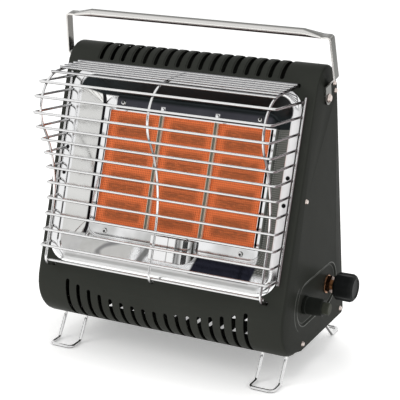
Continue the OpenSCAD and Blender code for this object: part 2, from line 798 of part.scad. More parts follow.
module plaque_gasket() {
    g = seat_gap;
    color([0.93, 0.92, 0.88]) on_front() translate([0, 0, plaque_back]) difference() {
        translate([-array_half - g - gasket_w, burner_v - array_vhalf - g - gasket_w, 0])
            cube([2 * (array_half + g + gasket_w), 2 * (array_vhalf + g + gasket_w), gasket_top - plaque_back]);
        translate([-array_half - g, burner_v - array_vhalf - g, -cut])
            cube([2 * (array_half + g), 2 * (array_vhalf + g), 2 * plaque_t]);
    }
}
gasket_top = -pan_depth - pan_t - seat_gap;

module burner_box() {
    t = plenum_t;
    back = plaque_back - seat_gap;
    color(zinc) on_front() difference() {
        union() {
            // Flange behind the pan
            translate([-frame_half, burner_v - frame_vhalf, box_n - t])
                cube([2 * frame_half, 2 * frame_vhalf, t]);
            // Tray round the plaques
            translate([-box_half - t, burner_v - box_vhalf - t, back - t])
                cube([2 * (box_half + t), 2 * (box_vhalf + t), box_n - back + t]);
            // Plenum
            translate([-box_half + ledge - t, burner_v - box_vhalf + ledge - t, plenum_n])
                cube([2 * (box_half - ledge + t), 2 * (box_vhalf - ledge + t), back - plenum_n]);
        }
        translate([-box_half, burner_v - box_vhalf, back])
            cube([2 * box_half, 2 * box_vhalf, box_n - back + cut]);
        translate([-box_half + ledge, burner_v - box_vhalf + ledge, plenum_n + t])
            cube([2 * (box_half - ledge), 2 * (box_vhalf - ledge), back - plenum_n]);
        for (p = frame_screw_at) translate([p.x, p.y, box_n - 2 * t])
            cylinder(h = 3 * t, d = screw_d + 2 * running_gap);
        // Port of the mixer tube
        translate([mixer_x, burner_v - box_vhalf, mixer_n]) rotate([90, 0, 0])
            cylinder(h = 4 * ledge, d = mixer_d + 2 * running_gap, center = true);
    }
}

module mixer_tube() {
    port_v = burner_v - box_vhalf + ledge + 1;
    t = 1;
    elbow = [mixer_x, mixer_v, mixer_n];
    elbow_r = mixer_d / 2 + 3;
    color(zinc) on_front() difference() {
        bent_wire([[mixer_end, mixer_v, mixer_n], elbow, [mixer_x, port_v, mixer_n]], elbow_r, mixer_d);
        bent_wire([
            [mixer_end - 2 * t, mixer_v, mixer_n], elbow, [mixer_x, port_v + cut, mixer_n]
        ], elbow_r, mixer_d - 2 * t);
        // Seat of the jet
        translate([0, mixer_v, mixer_n]) bar_x_axis(mixer_end - 4, mixer_end + cut, jet_d + 2 * running_gap);
        // Air windows behind the jet
        translate([mixer_end - 24, mixer_v - mixer_d, mixer_n - 5]) cube([14, 2 * mixer_d, 10]);
    }
}

module gas_jet() {
    color(brass) translate([0, mixer_axis.y, mixer_axis.z]) difference() {
        union() {
            bar_x_axis(mixer_end - 8, mixer_end + seat_gap, jet_d);
            translate([mixer_end + seat_gap, 0, 0]) rotate([0, 90, 0]) cylinder(h = 9, d = 14, $fn = 6);
        }
        bar_x_axis(mixer_end - 5, mixer_end + 30, 5);
        bar_x_axis(mixer_end - 9, mixer_end, 1.2);
    }
}

pipe_rise_x = tap_x0 + 14;
pipe_foot = control_z + tap_d / 2;

module gas_pipe() {
    way = [
        [pipe_rise_x, tap_y, pipe_foot + seat_gap],
        [pipe_rise_x, tap_y, mixer_axis.z],
        [pipe_rise_x, mixer_axis.y, mixer_axis.z],
        [mixer_end + 9 + 2 * seat_gap, mixer_axis.y, mixer_axis.z]
    ];
    color(brass) difference() {
        bent_wire(way, pipe_bend, pipe_d);
        bent_wire(way, pipe_bend, pipe_d - 2);
    }
}

module tap_body() {
    color(brass) translate([0, tap_y, control_z]) difference() {
        union() {
            bar_x_axis(tap_x0, tap_x1, tap_d);
            bar_x_axis(tap_x1 - cut, neck_end, neck_d);
        }
        // Cavity of the rotor
        bar_x_axis(tap_x0 - cut, cavity_x0 + cavity_len, cavity_d);
        // Bearing of the stem
        bar_x_axis(tap_x0, neck_end + cut, stem_d + 2 * running_gap);
        // Ports of the pipes
        translate([pipe_rise_x, 0, 0]) cylinder(h = tap_d, d = pipe_d - 2);
        translate([pipe_rise_x, 0, 0]) rotate([-90, 0, 0]) cylinder(h = tap_d, d = pipe_d - 2);
    }
}

module tap_cap() {
    color(brass) translate([0, tap_y, control_z]) difference() {
        union() {
            bar_x_axis(tap_x0 - 3, tap_x0 - seat_gap, tap_d);
            bar_x_axis(tap_x0 - cut, cavity_x0 + 2.5, cavity_d - 2 * seat_gap);
        }
        bar_x_axis(tap_x0 - 4, tap_x0 - 1, 3);
    }
}

module tap_rotor() {
    color(brass) translate([0, tap_y, control_z]) difference() {
        bar_x_axis(rotor_x0, rotor_x0 + rotor_len, cavity_d - 2 * running_gap);
        // Socket of the stem
        bar_x_axis(stem_x0 - knob_travel - 1, rotor_x0 + rotor_len + cut, stem_d + 2 * running_gap);
        // Gas way
        translate([pipe_rise_x, 0, -tap_d]) cylinder(h = tap_d, d = pipe_d - 3);
    }
}

module tap_stem() {
    color(zinc) translate([0, tap_y, control_z]) bar_x_axis(stem_x0, knob_x + knob_len - 5, stem_d);
}

module tap_washer() {
    color(brass) translate([0, tap_y, control_z]) difference() {
        bar_x_axis(recess_x + seat_gap, recess_x + seat_gap + washer_t, nut_flats + 3);
        bar_x_axis(recess_x, neck_end, neck_d + 2 * running_gap);
    }
}

module tap_nut() {
    x0 = recess_x + 2 * seat_gap + washer_t;
    color(brass) translate([0, tap_y, control_z]) difference() {
        translate([x0, 0, 0]) rotate([0, 90, 0]) cylinder(h = nut_t, d = nut_flats / cos(30), $fn = 6);
        bar_x_axis(recess_x, neck_end + cut, neck_d + 2 * running_gap);
    }
}

module control_knob() {
    lobe_r = 4.5;
    lobe_at = knob_d / 2 - lobe_r;
    color(black) translate([0, tap_y, control_z]) difference() {
        union() {
            bar_x_axis(knob_x, knob_x + knob_len, 2 * lobe_at + 3);
            for (i = [0:knob_lobes - 1]) rotate([(i + 0.5) * 360 / knob_lobes, 0, 0])
                translate([0, lobe_at, 0]) bar_x_axis(knob_x + 3, knob_x + knob_len - 1, 2 * lobe_r);
            translate([knob_x, 0, 0]) rotate([0, 90, 0]) cylinder(h = 5, d1 = knob_d - 7, d2 = knob_d - 3);
        }
        bar_x_axis(knob_x - cut, knob_x + knob_len - 5, stem_d);
        // Room for the tap's neck while the knob is pushed
        bar_x_axis(knob_x - cut, knob_x + knob_travel, neck_d + 2);
        // Hollow face
        translate([knob_x + knob_len - 1.2, 0, 0]) rotate([0, 90, 0]) cylinder(h = 3, d = knob_d - 13);
    }
}

inlet_x = pipe_rise_x;
tail_y0 = rear_y(control_z) - 12;

module inlet_pipe() {
    color(brass) translate([inlet_x, 0, control_z]) rotate([-90, 0, 0]) difference() {
        translate([0, 0, tap_y + tap_d / 2 + seat_gap])
            cylinder(h = tail_y0 - tap_y - tap_d / 2 - 2 * seat_gap, d = pipe_d);
        cylinder(h = case_d, d = pipe_d - 2);
    }
}

module hose_tail() {
    color(brass) translate([inlet_x, tail_y0, control_z]) rotate([-90, 0, 0]) difference() {
        union() {
            cylinder(h = 8, d = 17 / cos(30), $fn = 6);
            cylinder(h = 22, d = 13);
            cylinder(h = 22 + hose_tail_len, d = hose_tail_d);
            translate([0, 0, 22 + hose_tail_len]) cylinder(h = 2, d1 = hose_tail_d, d2 = hose_tail_d - 2);
        }
        translate([0, 0, -cut]) cylinder(h = 60, d = 6);
    }
}

module igniter_body() {
    color(black) translate([0, igniter_y, igniter_z]) difference() {
        union() {
            bar_x_axis(collar_x, collar_end, collar_d);
            bar_x_axis(collar_end - cut, sleeve_end, sleeve_d);
            for (i = [0:rib_n - 1]) rotate([i * 360 / rib_n, 0, 0])
                translate([0, collar_d / 2, 0]) bar_x_axis(collar_x + 1, collar_end - 1.5, 1.1);
            bar_x_axis(recess_in - barrel_len, collar_x + cut, barrel_d);
            bar_x_axis(recess_in - barrel_len - 5, recess_in - barrel_len + cut, 5);
        }
        bar_x_axis(sleeve_end - button_in - button_travel - cut, sleeve_end + cut, button_d + 2 * running_gap);
    }
}

module igniter_button() {
    color(black) translate([0, igniter_y, igniter_z]) {
        bar_x_axis(sleeve_end - button_in, button_end - 1, button_d);
        translate([button_end - 1 - sliver, 0, 0]) rotate([0, 90, 0])
            cylinder(h = 1 + sliver, d1 = button_d, d2 = button_d - 2);
    }
}

rod_d = 5;
pilot_v = burner_v - frame_vhalf - 10;
pilot_x = [-2, 20];
pilot_back = -33;
pilot_front = -17;

module electrode() {
    color([0.93, 0.92, 0.88]) on_front() translate([pilot_x[1], pilot_v, pilot_back])
        cylinder(h = pilot_front - pilot_back, d = rod_d);
    color(zinc) on_front() bent_wire([
        [pilot_x[1], pilot_v, pilot_front - 2], [pilot_x[1], pilot_v, pilot_front + 3],
        [pilot_x[1], pilot_v + 15, pilot_front - 1]
    ], 2, 1.6);
}

module thermocouple() {
    color(brass) on_front() translate([pilot_x[0], pilot_v, pilot_back])
        cylinder(h = pilot_front - pilot_back, d = rod_d);
    color(zinc) on_front() bent_wire([
        [pilot_x[0], pilot_v, pilot_front - 2], [pilot_x[0], pilot_v, pilot_front + 3.5],
        [pilot_x[0], pilot_v + 17, pilot_front]
    ], 3, 3);
}

lead_d = 3;
electrode_end = [recess_in - barrel_len - 5 - seat_gap, igniter_y, igniter_z];

// Start of a lead behind the pan at x, and its way down past the mixer tube
function lead_start(x) = [
    on_face([x, pilot_v, pilot_back - seat_gap]),
    on_face([x, pilot_v, lead_n]),
    on_face([x, mixer_v - mixer_d / 2 - 6, lead_n])
];
lead_n = pilot_back - 4;

module electrode_lead() {
    color(black) bent_wire(
        concat(lead_start(pilot_x[1]), [[pilot_x[1], igniter_y, igniter_z], electrode_end]), 3, lead_d);
}

module thermocouple_lead() {
    turn = [60, tap_y, control_z];
    end = [tap_x0 - 3 - seat_gap, tap_y, control_z];
    color(brass) bent_wire(concat(lead_start(pilot_x[0]), [turn, end]), 3, 2);
}

shield_x0 = -20;
shield_x1 = 34;
shield_r = 13;
shield_n = -10;
shield_h = 29;

module pilot_shield() {
    t = 0.8;
    lo = pilot_v - 8;
    color(bright) on_front() difference() {
        translate([0, lo + shield_h, 0]) rotate([90, 0, 0]) linear_extrude(shield_h) difference() {
            union() {
                translate([shield_x0, -pan_depth]) square([shield_x1 - shield_r - shield_x0, pan_depth + shield_n]);
                translate([shield_x1 - shield_r, shield_n - shield_r]) circle(r = shield_r);
                translate([shield_x1 - 2 * shield_r, -pan_depth])
                    square([2 * shield_r, pan_depth + shield_n - shield_r]);
            }
            translate([shield_x0 + t, -pan_depth - cut])
                square([shield_x1 - shield_r - shield_x0 - t, pan_depth + shield_n - t + cut]);
            translate([shield_x1 - shield_r, shield_n - shield_r]) circle(r = shield_r - t);
            translate([shield_x1 - 2 * shield_r + t, -pan_depth - cut])
                square([2 * (shield_r - t), pan_depth + shield_n - shield_r + cut]);
        }
        // Cut away along the pan's lower wall and floor
        translate([shield_x0 - cut, mouth_lo, seat_gap + 0.8])
            rotate([-atan2(pan_depth + rim_n, burner_v - floor_vhalf - mouth_lo), 0, 0])
                translate([0, -20, -60]) cube([shield_x1 - shield_x0 + 2 * cut, 90, 60]);
        translate([shield_x0 - cut, lo - cut, -pan_depth - 20])
            cube([shield_x1 - shield_x0 + 2 * cut, shield_h + 2 * cut, 20 + frame_t + 2 * seat_gap + 0.6]);
    }
}

shield_gap = 16;

module heat_shield() {
    t = 0.8;
    half = box_half - ledge - cut;
    lo = burner_v - box_vhalf + ledge + 3;
    h = 2 * (burner_v - lo);
    color(zinc) on_front() {
        translate([-half, lo, plenum_n - shield_gap]) cube([2 * half, h, t]);
        for (s = [-1, 1]) translate([s > 0 ? half - t : -half, lo, plenum_n - shield_gap])
            cube([t, h, shield_gap - seat_gap]);
    }
}

module burner_brackets() {
    t = 1.5;
    at = side_screw_at[2];
    w = 24;
    reach = 39;
    color(zinc) both_sides() difference() {
        union() {
            translate([wall_in - seat_gap - t, at.x - 5, at.y - w / 2]) cube([t, reach, w]);
            translate([box_half + plenum_t + seat_gap, at.x - 5 + reach - t, at.y - w / 2])
                cube([wall_in - seat_gap - box_half - plenum_t - seat_gap, t, w]);
        }
        screw_hole(1, at, screw_d);
    }
}

// Wire along an arc in the (v, n) plane at x, about c, from angle a0 over sweep degrees
module guard_arc(x, c, r, a0, sweep, d = wire_d + swage) {
    translate([x, c.x, c.y]) rotate([90, 0, 90]) rotate([0, 0, a0])
        rotate_extrude(angle = sweep) translate([r, 0]) circle(d = d);
}

// Upright with its lower hook, its swell and its upper hook
module upright(x, lower, upper) {
    r0 = flare_r + wire_lap;
    r1 = swell_r - wire_lap;
    back = turned(front_lean - 90);
    crown = swell_c + r1 * turned(front_lean) - nip * back;
    end = crown + upper * back;
    rod([x, hook_v, upright_n - hook_bend - lower], [x, hook_v, upright_n - hook_bend + nip], wire_d);
    guard_arc(x, hook_c, hook_bend, 90, 90);
    rod([x, hook_v + hook_bend - nip, upright_n], [x, flare_v + nip, upright_n], wire_d);
    guard_arc(x, flare_c, r0, -90, flare_turn + nip / r0 * 180 / PI);
    guard_arc(x, swell_c, r1, front_lean, swell_turn, wire_d + 2 * swage);
    rod([x, crown.x, crown.y], [x, end.x, end.y], wire_d);
}

// Bar with both ends bent back towards the case
module bent_bar(p) {
    back = (p.y - side_wire_n) / cos(return_tilt);
    translate([0, p.x, p.y]) rotate([return_tilt, 0, 0]) bent_wire([
        [-bar_x, 0, -back], [-bar_x, 0, 0], [bar_x, 0, 0], [bar_x, 0, -back]
    ], bar_bend, wire_d);
}

module wire_guard() {
    hook_run = top_hook_y - (-swell_y) + hook_in;
    color(bright) on_front() {
        for (s = [-1, 1]) upright(s * upright_x, upright_n - hook_bend + hook_in, hook_run);
        upright(0, 2, close_end + 2);
        for (s = bent_s) bent_bar(guard_at(s));
        for (s = concat(straight_s, close_s)) {
            p = guard_at(s);
            rod([-upright_x - 2, p.x, p.y], [upright_x + 2, p.x, p.y], wire_d);
        }
        // Lower bar inside the hooks' bends
        low = hook_c + (hook_bend - wire_lap) * turned(135);
        rod([-upright_x - 3, low.x, low.y], [upright_x + 3, low.x, low.y], wire_d);
        // Side wires that tie the bent ends
        lo = bar_lo + (guard_n - side_wire_n) * tan(return_tilt) - 4;
        hi = last_bent.x + (last_bent.y - side_wire_n) * tan(return_tilt) + 5;
        for (s = [-1, 1]) rod([s * side_wire_x, lo, side_wire_n], [s * side_wire_x, hi, side_wire_n], wire_d);
    }
}
// Where an upright at the hook's height meets the front face
top_hook_y = front_y(top_hook_z);

// Outline of the bent strap seen from the front, from its lug to its flat end
function strap_outline(d) = concat(
    [[lug_x + strap_t / 2 + d, -lug_w], [lug_x + strap_t / 2 + d, step_lo], [strap_x + d, step_hi]],
    arc_points(corner_c, strap_bend + d, strap_lean, 90, 4),
    [[flat_end, flat_z + d]]
);

module handle_side() {
    inner = strap_outline(-strap_t / 2);
    difference() {
        intersection() {
            translate([0, lug_w, 0]) rotate([90, 0, 0]) linear_extrude(2 * lug_w)
                polygon(concat(strap_outline(strap_t / 2), [for (i = [len(inner) - 1:-1:0]) inner[i]]));
            // Its outline seen from the side: a round lug that narrows to the strap
            along_x(flat_end - cut, strap_x + lug_w) {
                circle(d = lug_w);
                polygon([
                    [-lug_w / 2, 0], [lug_w / 2, 0], [lug_w / 2, step_lo], [strap_w / 2, step_hi],
                    [strap_w / 2, handle_len], [-strap_w / 2, handle_len],
                    [-strap_w / 2, step_hi], [-lug_w / 2, step_lo]
                ]);
            }
        }
        bar_x_axis(lug_x - cut, lug_x + strap_t + cut, rivet_d + 2 * running_gap);
    }
    // The strap rolls up into the grip tube
    hull() {
        translate([flat_end - sliver, -strap_w / 2, flat_z - strap_t / 2]) cube([sliver, strap_w, strap_t]);
        translate([grip_half, 0, handle_len]) rotate([0, 90, 0])
            cylinder(h = sliver, d = grip_d / cos(180 / hull_fn) + 5 * swage, $fn = hull_fn);
    }
}

module handle() {
    color(bright) translate([0, pivot_y, pivot_z]) rotate([handle_tilt, 0, 0]) {
        both_sides() handle_side();
        translate([0, 0, handle_len]) bar_x_axis(-grip_half - nip, grip_half + nip, grip_d);
    }
}

module handle_rivets() {
    head_x = lug_x + strap_t + seat_gap;
    color(zinc) both_sides() translate([0, pivot_y, pivot_z]) {
        bar_x_axis(wall_in - bracket_t - 2 * seat_gap - 1.5, head_x + cut, rivet_d);
        translate([head_x, 0, 0]) rotate([0, 90, 0]) cylinder(h = 2.4, d1 = rivet_head, d2 = rivet_head - 4);
        bar_x_axis(wall_in - bracket_t - 2 * seat_gap - 1.5, wall_in - bracket_t - 2 * seat_gap, rivet_d + 3);
    }
}

module handle_brackets() {
    at = [side_screw_at[3], side_screw_at[4]];
    color(zinc) both_sides() difference() {
        intersection() {
            translate([wall_in - seat_gap - bracket_t, pivot_y - bracket_edge, pivot_z - bracket_edge]) cube([bracket_t, case_d, case_h]);
            // Clear of the case's soft edge
            along_x(0, case_w / 2) {
                translate([top_y, top_z]) circle(r = top_r - side_r + 1);
                square([case_d / 2, top_z]);
            }
        }
        for (p = at) screw_hole(1, p, screw_d);
        screw_hole(1, [pivot_y, pivot_z], rivet_d);
        // Corner cut along the rear wall
        translate([case_w / 2 - 3 * bracket_t, rear_y(pivot_z) - case_t - seat_gap, pivot_z])
            rotate([rear_lean, 0, 0]) translate([0, 0, -case_h / 2]) cube([4 * bracket_t, case_d, case_h]);
    }
}

module pan_head() {
    cylinder(h = screw_head_h, d1 = screw_head, d2 = screw_head - 2.4);
}

module side_screws() {
    color(zinc) both_sides() for (p = side_screw_at) translate([0, p.x, p.y]) {
        bar_x_axis(wall_in - seat_gap - 5, case_w / 2 + cut, screw_d);
        translate([case_w / 2, 0, 0]) rotate([0, 90, 0]) pan_head();
    }
}

module rear_screws() {
    color(zinc) on_rear() for (p = cover_screws) translate([p.x, p.y, 0]) {
        translate([0, 0, seat_gap + cover_t]) pan_head();
        translate([0, 0, -case_t - 4]) cylinder(h = case_t + 4 + seat_gap + cover_t + cut, d = screw_d);
    }
}

// Foot: up through the base, down to the ground, along it and across; way is -1 for front, 1 for rear
module foot(side, way, leg_y, reach, run) {
    r = foot_wire / 2;
    top = foot_h + plate_top + 2;
    out = side * foot_x;
    in = side * (foot_x - foot_w);
    y0 = way * leg_y;
    y1 = way * (leg_y + reach);
    y2 = way * (leg_y + reach + run);
    color(bright) {
        bent_wire([
            [out, y0, top], [out, y0, foot_h - foot_drop], [out, y1, r], [out, y2, r],
            [in, y2, r], [in, y1, r], [in, y0, foot_h - foot_drop], [in, y0, top]
        ], foot_bend, foot_wire);
        for (x = [in, out]) translate([x, y0, foot_h + plate_top + seat_gap])
            cylinder(h = 2, d = foot_wire + 2.5);
    }
}

foot_x = case_w / 2 - foot_in;
front_leg_y = case_d / 2 - front_leg_in;
rear_leg_y = case_d / 2 - rear_leg_in;
foot_drop = 6; // how far the legs run straight down out of the base
plate_t = 2;
plate_top = 1 + 2 * seat_gap + plate_t + 1;

module foot_front_left() { foot(-1, -1, front_leg_y, front_reach, front_run); }
module foot_front_right() { foot(1, -1, front_leg_y, front_reach, front_run); }
module foot_rear_left() { foot(-1, 1, rear_leg_y, rear_reach, rear_run); }
module foot_rear_right() { foot(1, 1, rear_leg_y, rear_reach, rear_run); }

module foot_plates() {
    mid = foot_x - foot_w / 2;
    color(zinc) for (s = [-1, 1], y = [-front_leg_y, rear_leg_y]) difference() {
        translate([s * mid - foot_w / 2 - 6, y - 6, foot_h + plate_top - plate_t])
            cube([foot_w + 12 - 1.5, 12, plate_t]);
        for (x = [-foot_w / 2, foot_w / 2]) translate([s * mid + x, y, foot_h])
            cylinder(h = 10, d = foot_wire + 2 * running_gap);
    }
}

front_casing();
rear_cover();
base_plate();
reflector();
burner_frame();
frame_screws();
plaques();
plaque_gasket();
burner_box();
mixer_tube();
gas_jet();
gas_pipe();
tap_body();
tap_cap();
tap_rotor();
tap_stem();
tap_washer();
tap_nut();
control_knob();
inlet_pipe();
hose_tail();
igniter_body();
igniter_button();
electrode();
electrode_lead();
thermocouple();
thermocouple_lead();
pilot_shield();
heat_shield();
burner_brackets();
wire_guard();
handle();
handle_rivets();
handle_brackets();
side_screws();
rear_screws();
foot_front_left();
foot_front_right();
foot_rear_left();
foot_rear_right();
foot_plates();
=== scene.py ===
# %% [markdown]
# # A portable gas heater, dressed in Blender
# The solid parts come from the packed model, which fixes every size and every joint. This lesson keeps
# their places and gives each visible piece what a plain solid lacks: soft edges, pressed sheet, grip
# ribs and a finish made of shader nodes. Meshes are in metres, and `MM` turns millimetres into them.

import json
import math

import bmesh
import bpy
from mathutils import Matrix, Vector

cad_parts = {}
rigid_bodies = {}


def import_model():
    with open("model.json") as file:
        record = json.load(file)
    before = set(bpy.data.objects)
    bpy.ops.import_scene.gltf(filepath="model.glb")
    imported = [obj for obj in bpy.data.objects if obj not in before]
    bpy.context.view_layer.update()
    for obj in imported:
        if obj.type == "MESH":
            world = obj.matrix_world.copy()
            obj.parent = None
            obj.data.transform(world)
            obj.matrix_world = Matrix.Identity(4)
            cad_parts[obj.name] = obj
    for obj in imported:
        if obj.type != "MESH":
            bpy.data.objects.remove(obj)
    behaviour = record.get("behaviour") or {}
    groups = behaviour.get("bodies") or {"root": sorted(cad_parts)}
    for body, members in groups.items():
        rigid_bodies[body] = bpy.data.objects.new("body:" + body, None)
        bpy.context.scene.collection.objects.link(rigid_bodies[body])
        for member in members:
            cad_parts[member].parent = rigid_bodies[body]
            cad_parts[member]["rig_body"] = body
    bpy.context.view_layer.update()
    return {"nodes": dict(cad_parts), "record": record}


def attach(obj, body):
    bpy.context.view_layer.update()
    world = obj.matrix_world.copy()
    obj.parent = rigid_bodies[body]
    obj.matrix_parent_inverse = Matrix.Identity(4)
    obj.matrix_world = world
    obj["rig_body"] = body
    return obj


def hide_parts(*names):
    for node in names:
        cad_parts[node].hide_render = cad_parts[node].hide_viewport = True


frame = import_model()
MM = 0.001

# %% [markdown]
# ## The camera
# A long lens stands to the right of the heater and looks down on it. Euler angles could turn it, but
# three axes say more: one to the side, one to the back and one up, with a small roll at the end. The
# lens's length was worked out for a view 400 pixels wide, so it is scaled to the sensor's width.

# %% Camera
TURN, TILT, ROLL = math.radians(26.36), math.radians(17.52), math.radians(0.49)
CAMERA_PLACE = (0.6576, -1.2975, 0.6438)
FOCAL_PIXELS, VIEW_PIXELS, SENSOR_WIDTH = 1287.7, 400, 36
side = Vector((math.cos(TURN), math.sin(TURN), 0))
back = Vector((math.sin(TURN) * math.cos(TILT), -math.cos(TURN) * math.cos(TILT), math.sin(TILT)))
rise = back.cross(side)
x_axis = side * math.cos(ROLL) + rise * math.sin(ROLL)
y_axis = rise * math.cos(ROLL) - side * math.sin(ROLL)
lens = bpy.data.cameras.new("camera")
lens.sensor_width = SENSOR_WIDTH
lens.sensor_fit = "HORIZONTAL"
lens.lens = FOCAL_PIXELS / VIEW_PIXELS * SENSOR_WIDTH
camera = bpy.data.objects.new("camera", lens)
bpy.context.scene.collection.objects.link(camera)
camera.matrix_world = Matrix.Translation(CAMERA_PLACE) @ Matrix(
    (x_axis, y_axis, back)).transposed().to_4x4()
bpy.context.scene.camera = camera
print("camera", [round(v, 3) for v in camera.matrix_world.translation])

# %% [markdown]
# ## Writing shader maths as sums
# A node tree is easier to read as an expression. `Value` wraps one output socket, and its operators add
# Math nodes, also where a plain number stands on the left, as in `1 - mask`. A mask is a value that is 1
# on an area and 0 off it, with a soft step at its edge: `*` cuts one mask by another, `most` joins them.

# %% Value
class Value:
    """An output socket that can stand in a sum."""

    def __init__(self, finish, socket):
        self.finish, self.socket = finish, socket

    def maths(self, operation, *values):
        return self.finish.node("ShaderNodeMath", {"operation": operation}, dict(enumerate(values)))

    def __add__(self, other):
        return self.maths("ADD", self, other)

    def __sub__(self, other):
        return self.maths("SUBTRACT", self, other)

    def __rsub__(self, other):
        return self.maths("SUBTRACT", other, self)

    def __mul__(self, other):
        return self.maths("MULTIPLY", self, other)

    def __mod__(self, other):
        return self.maths("FLOORED_MODULO", self, other)

    def __abs__(self):
        return self.maths("ABSOLUTE", self)

    __radd__ = __add__
    __rmul__ = __mul__

    def most(self, other):
        """The larger of two values."""
        return self.maths("MAXIMUM", self, other)

    def below(self, edge, soft):
        """1 where the value is below the edge and 0 above it, with a soft step between."""
        return self.finish.node(
            "ShaderNodeMapRange", {"interpolation_type": "SMOOTHSTEP"},
            {"Value": self, "From Min": edge - soft, "From Max": edge + soft, "To Min": 1.0, "To Max": 0.0})

    def above(self, edge, soft):
        return 1 - self.below(edge, soft)

    def within(self, low, high, soft):
        """1 between two edges and 0 outside them."""
        return self.below(high, soft) * self.above(low, soft)


print("masks and sums ready:", [name for name in vars(Value) if not name.startswith("_")])

# %% [markdown]
# ## One material, one method for its nodes
# `Finish` is a material with a Principled shader. Every node comes from its `node` method, which takes
# the node's type, its settings, which are set first, and what its sockets get. Places are read from the
# Object coordinates, so a pattern stays on its piece. `front` turns a place into millimetres on the
# heater's leaning face, because most patterns here follow that face and not the upright axes.

# %% One material
LEAN = math.radians(18.3)
FRONT_Y = -118.91


class Finish:
    """One material, with a Principled shader whose sockets are set by name."""

    def __init__(self, name, **sockets):
        self.material = bpy.data.materials.new(name)
        self.material.use_nodes = True
        self.tree = self.material.node_tree
        self.shader = self.tree.nodes["Principled BSDF"]
        self.place = self.node("ShaderNodeTexCoord", {}, {}, "Object")
        self.set(**sockets)

    def node(self, kind, settings, values, out=0):
        made = self.tree.nodes.new(kind)
        for key, value in settings.items():
            setattr(made, key, value)
        for key, value in values.items():
            self.feed(made.inputs[key], value)
        return Value(self, made.outputs[out])

    def feed(self, socket, value):
        if isinstance(value, Value):
            self.tree.links.new(value.socket, socket)
        elif isinstance(value, tuple) and socket.type == "RGBA":
            socket.default_value = (*value, 1)
        else:
            socket.default_value = value

    def set(self, **sockets):
        for key, value in sockets.items():
            self.feed(self.shader.inputs[key.replace("_", " ")], value)

    def parts(self, vector):
        """The x, y and z of a vector."""
        split = self.node("ShaderNodeSeparateXYZ", {}, {0: vector}).socket.node
        return [Value(self, split.outputs[i]) for i in range(3)]

    def where(self):
        """A place on the object: its x, y and z in millimetres."""
        return [part * (1 / MM) for part in self.parts(self.place)]

    def front(self):
        """A place on the leaning face in millimetres: across, up the slope and out of the face."""
        x, y, z = self.where()
        behind = y - FRONT_Y
        up = behind * math.sin(LEAN) + z * math.cos(LEAN)
        return x, up, z * math.sin(LEAN) - behind * math.cos(LEAN)

    def facing(self):
        """The x, y and z of the direction a surface faces."""
        return self.parts(self.node("ShaderNodeTexCoord", {}, {}, "Normal"))

    def noise(self, scale, detail=3.0, rough=0.5, stretch=None):
        at = self.place
        if stretch:
            at = self.node("ShaderNodeMapping", {}, {"Vector": at, "Scale": stretch})
        return self.node("ShaderNodeTexNoise", {}, {
            "Vector": at, "Scale": scale, "Detail": detail, "Roughness": rough})

    def mix(self, amount, a, b):
        """Colour a where the amount is 0 and colour b where it is 1."""
        return self.node("ShaderNodeMix", {"data_type": "RGBA"}, {0: amount, 6: a, 7: b}, 2)

    def cloudy(self, deep, pale, scale, detail=3.0, rough=0.5, stretch=None):
        """A colour that drifts between two tones."""
        return self.mix(self.noise(scale, detail, rough, stretch), deep, pale)

    def bump(self, height, distance, strength=1.0):
        self.set(Normal=self.node("ShaderNodeBump", {}, {
            "Height": height, "Distance": distance, "Strength": strength}))


finishes = {}
print("leaning face", round(math.degrees(LEAN), 1), "degrees, foot at y", FRONT_Y, "mm")

# %% [markdown]
# ## Stove enamel
# The case is steel sheet under a dark olive-black stove enamel. One flat colour would look like plastic,
# so a coarse noise varies tone and gloss, a fine one gives the orange peel as a bump, and the sides,
# which turn away from the light, get a touch of painted shade. The pressed edge round the controls is
# finer than the guard's wire, so it isn't modelled: thin pale lines along it are painted highlights, where
# its bends would catch the light. Spans here and below are (low, high, softness) and edges are (place,
# softness), in millimetres.

# %% Case enamel
TAP_Y, IGNITER_Y, RECESS_Z = 52, -18, 89
RECESS_Y, RECESS_HALF = (TAP_Y + IGNITER_Y) / 2, (TAP_Y - IGNITER_Y) / 2
RECESS_SHEET = (157, 0.5)
INNER_LINE, EDGE_LINE, OUTER_LINE = (22.6, 23.2, 0.3), (26.1, 26.9, 0.3), (33.8, 34.5, 0.3)
OUTER_LINE_END = (IGNITER_Y - 22, 2)
COAT_DEEP, COAT_PALE = (0.027, 0.0285, 0.0245), (0.036, 0.0375, 0.0325)
COAT_ASIDE, COAT_HIGHLIGHT = (0.020, 0.021, 0.018), (0.30, 0.31, 0.29)
ORANGE_PEEL = 0.04 * MM


def enamel():
    coat = Finish("case_enamel", Metallic=0.0, Specular_IOR_Level=0.012)
    x, y, z = coat.where()
    beyond, height = (abs(y - RECESS_Y) - RECESS_HALF).most(0), z - RECESS_Z
    away = coat.node("ShaderNodeMath", {"operation": "SQRT"}, {0: beyond * beyond + height * height})
    # Painted highlights along the recess's pressed edges, broken up by a noise.
    lines = away.within(*EDGE_LINE) + away.within(*INNER_LINE) * 0.6
    lines = lines + away.within(*OUTER_LINE) * y.below(*OUTER_LINE_END) * 0.7
    highlight_breaks = coat.noise(60).within(0.46, 0.9, 0.10)
    lines = lines * x.above(*RECESS_SHEET) * (0.4 + 0.6 * highlight_breaks)
    aside = abs(coat.facing()[0]).above(0.80, 0.18)
    tone = coat.mix(aside, coat.cloudy(COAT_DEEP, COAT_PALE, 14, 4), COAT_ASIDE)
    coat.set(Base_Color=coat.mix(lines * 0.7, tone, COAT_HIGHLIGHT), Roughness=coat.noise(45, 2) * 0.10 + 0.30)
    coat.bump(coat.noise(1500, 2), ORANGE_PEEL, 0.6)
    return coat.material


finishes["case_paint"] = enamel()
print("enamel, with a recess", round(RECESS_HALF * 2), "mm between its round ends")
